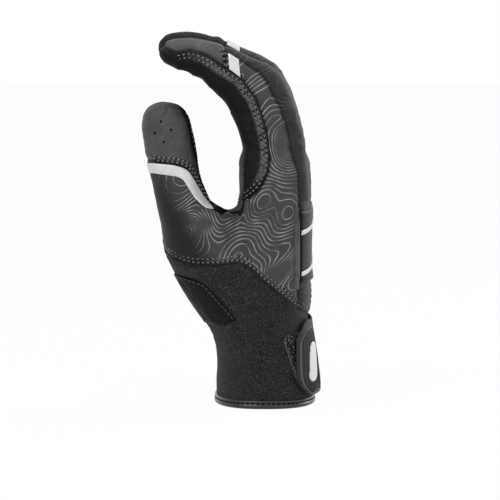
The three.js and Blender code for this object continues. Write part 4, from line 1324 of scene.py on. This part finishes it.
class GLOVE_OT_panels(bpy.types.Operator):
    """Sews the panels of the hand, thumb and fingers"""

    bl_idname = "glove.panels"
    bl_label = "Panels"

    def execute(self, context):
        m = materials()
        depth = context.scene.glove_sizes.fold_depth
        # Name, finish, slot, seam limits, tubes that it lies on if not all, depth of its folds, ink
        # and wall, and the nodes that it stands for
        for name, kind, slot, limits, tubes, options, nodes in (
            ("palm_hide", "palm", "palm_leather", "hide", "", {"fold": depth},
             "palm_leather thumb_front_leather index_front_leather middle_front_leather"
             " ring_front_leather little_front_leather middle_tip_cap ring_tip_cap little_tip_cap"),
            ("index_tip", "tip", "tip_leather", "-hide cap", "index", {"fold": 0.3}, "index_tip_cap"),
            ("thumb_tip", "tip", "tip_leather", "-hide cap", "thumb hand", {"fold": 0.22},
             "thumb_tip_cap"),
            ("printed_side", "printed", "printed_fabric", "-hide -cap back -cuff side",
             "hand thumb index", {"fold": 0.35, "ink": 1.0},
             "printed_side_panel index_side_panel thumb_back_panel"),
            ("back_knit", "back", "stretch_fabric", "-hide -cap -back -cuff", "",
             {"fold": 0.8, "ink": 0.7},
             "hand_back_panel index_back_panel middle_back_panel ring_back_panel little_back_panel"),
            ("ulnar_side", "fabric", "stretch_fabric", "-hide back -cuff -side", "hand little",
             {"fold": 0.25}, "ulnar_side_panel little_side_panel"),
            ("index_fourchette", "fabric", "stretch_fabric", "-hide -cap back -side", "index",
             {"fold": 0.2}, "index_ulnar_fourchette"),
            ("middle_fourchettes", "fabric", "stretch_fabric", "-hide back", "middle",
             {"fold": 0.2}, "middle_radial_fourchette middle_ulnar_fourchette"),
            ("ring_fourchettes", "fabric", "stretch_fabric", "-hide back", "ring",
             {"fold": 0.2}, "ring_radial_fourchette ring_ulnar_fourchette"),
            ("little_fourchette", "fabric", "stretch_fabric", "-hide back side", "little",
             {"fold": 0.2}, "little_radial_fourchette"),
            ("cuff", "neoprene", "neoprene", "-hide cuff base", "hand thumb",
             {"fold": 0.12, "wall": 2.2}, "cuff_sleeve"),
        ):
            piece = panel(name, m[kind], limits.split(), tubes.split() or None, **options)
            settle(piece, slot, *nodes.split())
        return {"FINISHED"}


def grid_of(first, second):
    """Two values over a grid: the first has one value for each row, the second for each column."""
    return np.meshgrid(first, second, indexing="ij")


def hand_share(heights):
    """The share of the hand's path at each height."""
    return np.interp(heights, HAND.table[:, 2], np.linspace(0, 1, HAND.count))


def on_hand(height, angle, offset):
    """Points round the wrist at those heights and angles, off the hand's tube by an offset, and their
    level outward directions."""
    share = hand_share(height)
    around = HAND.skin(share, angle + 0.5) - HAND.skin(share, angle - 0.5)
    outward = unit(np.cross(unit(around), np.array([0, 0, 1.0])))
    return HAND.skin(share, angle) + outward * np.broadcast_to(offset, height.shape)[:, None], outward


class GLOVE_OT_hem(bpy.types.Operator):
    """Binds the cuff's lower edge with rolled tape"""

    bl_idname = "glove.hem"
    bl_label = "Hem binding"

    def execute(self, context):
        # The closed profile is carried round the cuff's lower edge
        height, offset = np.array(HEM_PROFILE).T
        count, around = len(height), 220
        a, h = grid_of(np.linspace(-180, 180, around, endpoint=False), height)
        points, _ = on_hand(h.ravel(), a.ravel(), np.broadcast_to(offset, a.shape).ravel())
        ring, step = np.arange(around)[:, None], np.arange(count)
        after, next_step = (ring + 1) % around, (step + 1) % count
        corners = ((ring, step), (after, step), (after, next_step), (ring, next_step))
        faces = np.stack([a * count + b for a, b in corners], axis=-1).reshape(-1, 4)
        piece = make_piece("hem_tape", points, faces, materials()["binding"])
        settle(piece, "binding", "hem_binding")
        return {"FINISHED"}


def round_thumb(path, count):
    """The path with a run of points added before it, level round the thumb's front to its far side."""
    share, side, back, _, _ = THUMB.local(path[:1])
    start = math.degrees(math.atan2(side[0], back[0])) % 360
    angle = np.linspace(90, start - 2, count)
    ring = THUMB.skin(np.full(count, share[0]), angle)
    ring[:, 2] += path[0, 2] - ring[-1, 2]
    return np.vstack([pull(ring), path])


class GLOVE_OT_overlays(bpy.types.Operator):
    """Lays the stripes, the heel patch, the back plate and the padded ridge on the skin"""

    bl_idname = "glove.overlays"
    bl_label = "Overlays"

    def execute(self, context):
        m = materials()
        upper = round_thumb(cast(curve_through(STRIPE_TOP, 90)), 24)
        lower = round_thumb(cast(curve_through(STRIPE_BOTTOM, 90)), 24)
        base = mix(upper, lower, np.linspace(0, 1, 12)[:, None, None]).reshape(-1, 3)
        self.film("thumb_flash", base, (12, len(upper)), 0.1, "thumb_stripe")

        # The heel pad goes round the palm from its near edge: each row is met by rays from outside
        rows, columns = 46, 90
        near = cast(curve_through(HEEL_EDGE, rows))
        share, up = np.linspace(0, 1, columns)[None], np.linspace(0, 1, rows)[:, None]
        turn = mix(np.arctan2(-near[:, 1:2], -near[:, :1]), -HEEL_TURN, share)
        height = near[:, 2:] - HEEL_FALL * up * ramp(0.1, 0.9, share)
        height = height - HEEL_SAG * (1 - up) ** 3 * ramp(0, 0.1, share) * ramp(1, 0.9, share)
        ray = np.stack([np.cos(turn), np.sin(turn), 0 * turn], axis=-1).reshape(-1, 3)
        start = -75 * ray + np.array([0, 0, 1.0]) * height.reshape(-1, 1)
        (points, faces), border = laid(march(start, ray), (rows, columns), 0.9, lift=0.0, bevel=1.1)
        piece = make_piece("heel_pad", points, faces, m["palm"], {"edge": twice(border)})
        settle(piece, "palm_leather", "heel_patch")

        self.film("index_flash", between_lines(*INDEX_STRIPE, 24, 12), (24, 12), 0.1, "index_stripe")
        # The other stripes cross their fingers between two places along X, at each angle. The middle
        # finger's ends sooner on the thumb side
        for name in ("middle", "ring", "little"):
            tube = DIGITS[name]
            angle = np.linspace(-38 if name == "middle" else -80, 78, 70)
            place = np.linspace(*STRIPE_PLACES, 9)
            if name == "little":
                place = place + LITTLE_STRIPE_SHIFT
            every = np.linspace(0.3, 0.97, 160)
            s, a = grid_of(every, angle)
            across = tube.skin(s.ravel(), a.ravel())[:, 0].reshape(s.shape)
            share = [np.interp(place, column[::-1], every[::-1]) for column in across.T]
            share = np.stack(share, axis=1)
            base = tube.skin(share.ravel(), np.broadcast_to(angle, share.shape).ravel())
            self.film(f"{name}_flash", base, share.shape, 0.2, f"{name}_stripe")
        self.back_plate(m)
        return {"FINISHED"}

    def film(self, name, base, shape, lift, node, thickness=0.35, bevel=0.3):
        """A welded film of silver on the skin, from a grid of points near it."""
        (points, faces), _ = laid(base, shape, thickness, lift, bevel)
        settle(make_piece(name, points, faces, materials()["silver"]), "silver_film", node)

    def back_plate(self, m):
        """The plate is a slab with a rounded border; the ridge is a soft half round at its side."""
        u = np.linspace(0, 1, 90)
        height = np.linspace(*PLATE_HEIGHTS, 60)
        start = column_angle(np.full(60, PLATE_COLUMN), height, 1.8)
        a = mix(start[:, None], PLATE_END, u)
        h = np.broadcast_to(height[:, None], a.shape)
        (points, faces), _ = laid(hand_points(h, a), a.shape, 1.6, lift=0.3, bevel=1.0)
        settle(make_piece("hand_plate", points, faces, m["plate"]), "moulded_rubber", "back_plate")

        # The ridge sinks into the panel at both ends
        height = np.linspace(*RIDGE_HEIGHTS, 60)
        inner, outer = (column_angle(np.full(60, c), height, 1.5) for c in RIDGE_COLUMNS)
        a = mix(inner[:, None], outer[:, None], np.linspace(0, 1, 16))
        h = np.broadcast_to(height[:, None], a.shape)
        from_end = np.minimum(h - RIDGE_HEIGHTS[0], RIDGE_HEIGHTS[1] - h)
        thickness = 0.3 + 1.3 * ramp(0, 8, from_end)
        (points, faces), _ = laid(hand_points(h, a), a.shape, thickness, lift=0.05, bevel=2.3, foot=0.05)
        # Away from every seam, between two contour lines and faintly inked all over
        print_facts = {"edge": 9.0, "relief": 0.5, "slope": 1.0, "printed": 0.16, "bright": 1.0}
        piece = make_piece("padded_ridge", points, faces, m["printed"], {
            key: np.full(len(points), value) for key, value in print_facts.items()})
        settle(piece, "stretch_fabric", "ridge_pad")

        for name, node, low in zip(("bar_low", "bar_high"), ("lower_bar", "upper_bar"), BAR_HEIGHTS):
            first = column_angle(np.array([PLATE_COLUMN + 0.9]), np.array([low]), 2.3)[0]
            a, v = grid_of(np.linspace(first, BAR_END, 60), np.linspace(-1.15, 1.15, 8))
            width = hand_points(np.full(60, low), a[:, 0])[:, 1]
            h = low + v + BAR_TILT * (width - width[0])[:, None]
            self.film(name, hand_points(h, a), a.shape, 1.95, node, thickness=0.4, bevel=0.35)


def hand_points(heights, angles):
    """Points of the hand tube at those heights and angles."""
    return HAND.skin(hand_share(np.ravel(heights)), np.ravel(angles))


def column_angle(columns, heights, offset):
    """The angle on the near side of the hand at which a point off its skin shows in each column."""
    angle = np.linspace(-100, -4, 120)
    h, a = grid_of(heights, angle)
    o = np.broadcast_to(np.reshape(offset, (-1, 1)), a.shape)
    points, _ = on_hand(h.ravel(), a.ravel(), o.ravel())
    shown = to_pixel(points)[:, 0].reshape(a.shape)
    return np.array([np.interp(c, row, angle) for c, row in zip(columns, shown)])


def wrist_place(pixels, offset):
    """Angle and height on the wrist of the points, off its skin, that show at those pixels."""
    pixels = np.asarray(pixels, float)
    depth_out = np.full(len(pixels), -20.0)
    for _ in range(4):
        far = CAMERA_DISTANCE + depth_out * math.cos(CAMERA_ANGLE)
        up = (IMAGE_SIZE / 2 - pixels[:, 1]) * far * PIXEL_SIZE / CAMERA_DISTANCE
        height = CAMERA_TARGET[2] + (up - depth_out * math.sin(CAMERA_ANGLE)) / math.cos(CAMERA_ANGLE)
        angle = column_angle(pixels[:, 0], height, offset)
        points, _ = on_hand(height, angle, np.broadcast_to(offset, height.shape))
        depth_out = points[:, 1]
    return angle, height


def stack_share(heights):
    """How thick the strap's layers lie: full at the hem, easing to 0.55 where the strap is pulled
    tight."""
    return 1 - 0.45 * ramp(12, 46, heights)


def wrist_slab(angles, heights, bottom, top, warp=None, bevel=0.7):
    """A slab round the wrist on a grid of height and angle: its border is rounded, and a warp may
    move its surface by the distances from its edges. Returns points, faces and edge distances."""
    base, outward = on_hand(heights.ravel(), angles.ravel(), 0.0)
    left, low, border = from_borders(base.reshape(*heights.shape, 3))
    thin = stack_share(heights)
    bottom = bottom * thin
    top = bottom + (top * thin - bottom) * (0.3 + 0.7 * quarter_round(border, bevel))
    if warp is not None:
        top = top + warp(left, low, border)
    faces = facing(grid_faces(*heights.shape), base, outward)
    points, faces = shell(base + outward * top.reshape(-1, 1), outward, faces, (top - bottom).ravel())
    return points, faces, {"edge": twice(border)}


def wrist_piece(name, material, angles, heights):
    """A part of the strap: the slab of its layer, with its distance from the edge for the material."""
    points, faces, edge = wrist_slab(angles, heights, *STRAP_LAYERS[name])
    return make_piece(name, points, faces, material, edge)


def wrist_block(start, end, columns):
    """Angles and heights of an even grid between two angles, as high as the strap."""
    h, a = grid_of(np.linspace(*STRAP_HEIGHTS, 50), np.linspace(start, end, columns))
    return a, h


class GLOVE_OT_strap(bpy.types.Operator):
    """Wraps the closure strap round the wrist, with its tab and its tapes"""

    bl_idname = "glove.strap"
    bl_label = "Closure strap"

    def execute(self, context):
        m = materials()
        a, h = wrist_block(*ANCHOR_ANGLES, 24)
        settle(wrist_piece("anchor_patch", m["neoprene"], a, h), "neoprene", "strap_anchor")
        a, h = wrist_block(*BAND_ANGLES, 110)
        piece = wrist_piece("wrist_band", m["neoprene"], a, h)
        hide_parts("strap_band")
        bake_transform(piece)

        # The loop tape's shown edge slants back toward the tab as it goes down
        edge, height = wrist_place(curve_through(LOOP_EDGE, 40), 1.0)
        u = np.linspace(0, 1, 40)[None]
        a = mix(edge[:, None], LOOP_END, u)
        h = mix(height[:, None], np.clip(height, 12, 40)[:, None], u)
        settle(wrist_piece("loop_tape", m["hooks"], a, h), "hook_loop", "loop_patch")

        # The tab: straight free edge between two long chamfers, a raised rim and fine moulded lines
        edge, height = wrist_place(curve_through(TAB_EDGE, 120), 3.6)
        u = np.linspace(0, 1, 150)[None]
        a = mix(edge[:, None], TAB_END, u)
        h = mix(height[:, None], np.linspace(*TAB_HEIGHTS, 120)[:, None], u)
        relief = {}

        def moulding(left, up, border):
            """The tab's relief: a bell curve for the rim, one less for its groove, and sine lines."""
            # Toward the top the rim leaves the edge, as the square of the height above its bend
            place = border - 0.09 * np.maximum(up - 29, 0) ** 2
            lines = np.sin(left * 2 * math.pi / LINE_PITCH) * ramp(3.1, 3.6, place)
            # The line attribute carries the painted highlight and shade of the fine lines, and is lowest
            # outside the rim
            relief["edge"], relief["line"] = twice(place), twice(lines - ramp(1.7, 1.0, place))
            rim = RIM_HEIGHT * bell(place, 1.9, 0.4) - RIM_GROOVE * bell(place, 2.7, 0.35)
            return rim + LINE_HEIGHT * lines

        points, faces, _ = wrist_slab(a, h, *STRAP_LAYERS["moulded_tab"], moulding, bevel=0.9)
        settle(make_piece("moulded_tab", points, faces, m["rubber"], relief), "moulded_rubber",
               "strap_tab", body="tab")
        # The hook tape lies inside the tab's outline, on every third row and fourth column of its grid
        a, h = a[10:-10:3, ::4], h[10:-10:3, ::4]
        a = a + (a[:, -1:] - a) * 0.14
        settle(wrist_piece("hook_tape", m["hooks"], a, h), "hook_loop", "hook_patch", body="tab")
        a, h = wrist_block(*TONGUE_ANGLES, 20)
        piece = wrist_piece("tab_tongue", m["neoprene"], a, h)
        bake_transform(piece)

        # The badge: a plain pill shape, whose half width falls as a circle's does at both ends
        v = np.linspace(-1, 1, 50)
        u = np.linspace(-1, 1, 24)[None]
        angle, height = wrist_place(curve_through(BADGE_LINE, 50), 4.9)
        wide = np.sqrt(np.clip(1 - np.clip((np.abs(v) - 0.62) / 0.38, 0, 0.985) ** 2, 0, 1))
        a = angle[:, None] + 7.5 * u * wide[:, None]
        h = height[:, None] + 0 * u
        points, faces, _ = wrist_slab(a, h, *STRAP_LAYERS["tab_badge"])
        settle(make_piece("tab_badge", points, faces, m["badge"]), "white_rubber", "tab_emblem",
               body="tab")
        return {"FINISHED"}


class GLOVE_OT_sewing(bpy.types.Operator):
    """Sews the rows of stitches along the seams"""

    bl_idname = "glove.sewing"
    bl_label = "Sewing"

    def execute(self, context):
        m = materials()
        # Each row lies beside a stretch of a seam line, at its own distance from it
        cap = [(152, 159.6), *THUMB_CAP_SEAM[2:9]]
        rows = []
        for line, sides in (
            (PALM_SEAM[3:17], (-1.7, -3.6)), (CUFF_SEAM[2:15], (1.4, 3.3)), (cap, (1.3, 3.0)),
            (PALM_SEAM[19:25], (-1.6,)),
        ):
            path = cast(dense_line(line))
            rows += [row_beside(path, side) for side in sides]
        end, heel = cast(dense_line(CAP_END)), cast(dense_line(HEEL_EDGE[1:]))
        rows += [end, row_beside(end, -1.6)]
        points, faces, *place = stitches(rows)
        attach(make_piece("seam_thread", points, faces, m["thread"]), "glove")
        points, faces = self.between(*place)
        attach(make_piece("needle_holes", points, faces, m["hole"]), "glove")
        points, faces, *_ = stitches([row_beside(heel, HEEL_ROW)], lift=1.1)
        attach(make_piece("heel_thread", points, faces, m["dim_thread"]), "glove")

        # The hem's row of black thread lies in the groove of its tape
        angle = np.linspace(-178, 178, 400)
        path, _ = on_hand(np.full(400, HEM_ROW), angle, np.full(400, 0.7))
        points, faces, *_ = stitches([path], lift=0.1, sunk=0.2, pitch=2.6, length=1.9)
        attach(make_piece("hem_thread", points, faces, m["hole"]), "glove")

        # The vents show as dots of painted shade
        vents = cast(np.array(VENT_PIXELS))
        normal = skin_normals(vents)
        tangent = unit(np.cross(normal, [1.0, 0, 0]))
        points, faces = holes(vents, tangent, normal, radius=0.6, lift=0.22)
        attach(make_piece("thumb_vents", points, faces, m["hole"]), "glove")
        return {"FINISHED"}

    def between(self, centre, tangent, normal):
        """The needle holes, half a pitch past each stitch, on the panels' surface."""
        pitch = bpy.context.scene.glove_sizes.stitch_pitch
        return holes(pull(centre + tangent * pitch / 2, rounds=1), tangent, normal)


# Soft round lamps: name, place in metres, size in metres and power in watts
LAMPS = (
    ("key_lamp", (-0.5, -0.7, 0.8), 0.8, 4.4),
    ("fill_lamp", (0.6, -0.8, 0.25), 0.9, 1.6),
    ("rim_lamp", (0.75, 0.45, 0.5), 0.7, 4.0),
    ("top_lamp", (-0.1, -0.1, 1.0), 0.8, 3.6),
)
LAMP_AIM = np.array([0, 0, 0.09])


def seen_white(tree):
    """One for a ray from the camera and for one seen in gloss or through glass, else zero."""
    seen = add(tree, "LightPath").outputs
    looked = add(tree, "Math", {0: seen["Is Camera Ray"], 1: seen["Is Glossy Ray"]}, operation="MAXIMUM")
    return add(tree, "Math", {0: looked, 1: seen["Is Transmission Ray"]}, operation="MAXIMUM")


class GLOVE_OT_stage(bpy.types.Operator):
    """Sets the floor, the soft lights, the white surroundings and the camera"""

    bl_idname = "glove.stage"
    bl_label = "Stage"

    def execute(self, context):
        scene = context.scene
        scene.view_settings.view_transform = "Standard"
        self.floor()
        self.world(scene)
        for name, place, size, power in LAMPS:
            lamp = bpy.data.lights.new(name, "AREA")
            lamp.shape, lamp.size, lamp.energy = "DISK", size, power
            holder = put(name, lamp)
            holder.location = place
            aim = LAMP_AIM - np.array(place)
            holder.rotation_euler = Vector(aim).to_track_quat("-Z", "Y").to_euler()
        camera = bpy.data.cameras.new("camera")
        camera.sensor_width = SENSOR_WIDTH
        camera.lens = SENSOR_WIDTH * CAMERA_DISTANCE / (IMAGE_SIZE * PIXEL_SIZE)
        camera.clip_start, camera.clip_end = 0.05, 20
        holder = put("camera", camera)
        place = CAMERA_PLACE * MM
        holder.location = (place[0] + AXIS_PLACE, place[1], place[2])
        holder.rotation_euler = (math.pi / 2 - CAMERA_ANGLE, 0, 0)
        scene.camera = holder
        return {"FINISHED"}

    def floor(self):
        """A wide pale sheet of paper. A share of white light hides its far edge from the camera, and
        the rest is paper, on which the object's shade shows."""
        material = bpy.data.materials.new("matt_white_backdrop_paper")
        tree = cleared_tree(material)
        share = add(tree, "Math", {0: seen_white(tree), 1: 0.975}, operation="MULTIPLY")
        place = add(tree, "TexCoord").outputs["Object"]
        fibre = add(tree, "TexNoise", {"Vector": place, "Scale": per_mm(40.0)})
        pale, paler = opaque((0.9, 0.9, 0.9)), opaque((0.94, 0.94, 0.94))
        sheet_colour = add(tree, "Mix", {0: fibre, 6: pale, 7: paler}, data_type="RGBA")
        paper = add(tree, "BsdfDiffuse", {"Color": sheet_colour.outputs[2]})
        white = add(tree, "Emission", {"Color": (1, 1, 1, 1), "Strength": 1.0})
        mixed = add(tree, "MixShader", {0: share, 1: paper, 2: white})
        add(tree, "OutputMaterial", {"Surface": mixed})
        half = 4.0
        corners = [(-half, -half, 0), (half, -half, 0), (half, half, 0), (-half, half, 0)]
        mesh = bpy.data.meshes.new("floor")
        mesh.from_pydata(corners, [], [(0, 1, 2, 3)])
        mesh.materials.append(material)
        sheet = put("floor", mesh)
        sheet.location = (0, 0, -0.0002)

    def world(self, scene):
        """Even surroundings: a low level on the object, plain white to the camera and in gloss."""
        world = bpy.data.worlds.new("soft_studio")
        tree = cleared_tree(world)
        soft = add(tree, "Background", {"Color": (1, 1, 1, 1), "Strength": 0.24})
        white = add(tree, "Background", {"Color": (1, 1, 1, 1), "Strength": 1.0})
        mixed = add(tree, "MixShader", {0: seen_white(tree), 1: soft, 2: white})
        add(tree, "OutputWorld", {"Surface": mixed})
        scene.world = world


class GLOVE_PT_panel(bpy.types.Panel):
    """Lists the glove's pieces, sizes and colours"""

    bl_idname = "GLOVE_PT_panel"
    bl_label = "Batting glove"
    bl_space_type = "VIEW_3D"
    bl_region_type = "UI"
    bl_category = "Glove"

    def draw(self, context):
        layout = self.layout
        for operator in OPERATORS:
            layout.operator(operator.bl_idname)
        for group in (context.scene.glove_sizes, context.scene.glove_colours):
            for key in group.__annotations__:
                layout.prop(group, key)


OPERATORS = (
    GLOVE_OT_panels, GLOVE_OT_hem, GLOVE_OT_overlays, GLOVE_OT_strap, GLOVE_OT_sewing, GLOVE_OT_stage,
)
CLASSES = (GloveColours, GloveSizes, *OPERATORS, GLOVE_PT_panel)


def register():
    """Adds the classes and the scene's property groups."""
    for made in CLASSES:
        bpy.utils.register_class(made)
    bpy.types.Scene.glove_colours = PointerProperty(type=GloveColours)
    bpy.types.Scene.glove_sizes = PointerProperty(type=GloveSizes)


def unregister():
    """Takes the property groups and the classes away again."""
    del bpy.types.Scene.glove_sizes
    del bpy.types.Scene.glove_colours
    for made in reversed(CLASSES):
        bpy.utils.unregister_class(made)


def main():
    """Builds every piece and the stage."""
    register()
    for operator in OPERATORS:
        getattr(bpy.ops.glove, operator.bl_idname.split(".")[1])()


if __name__ == "__main__":
    main()
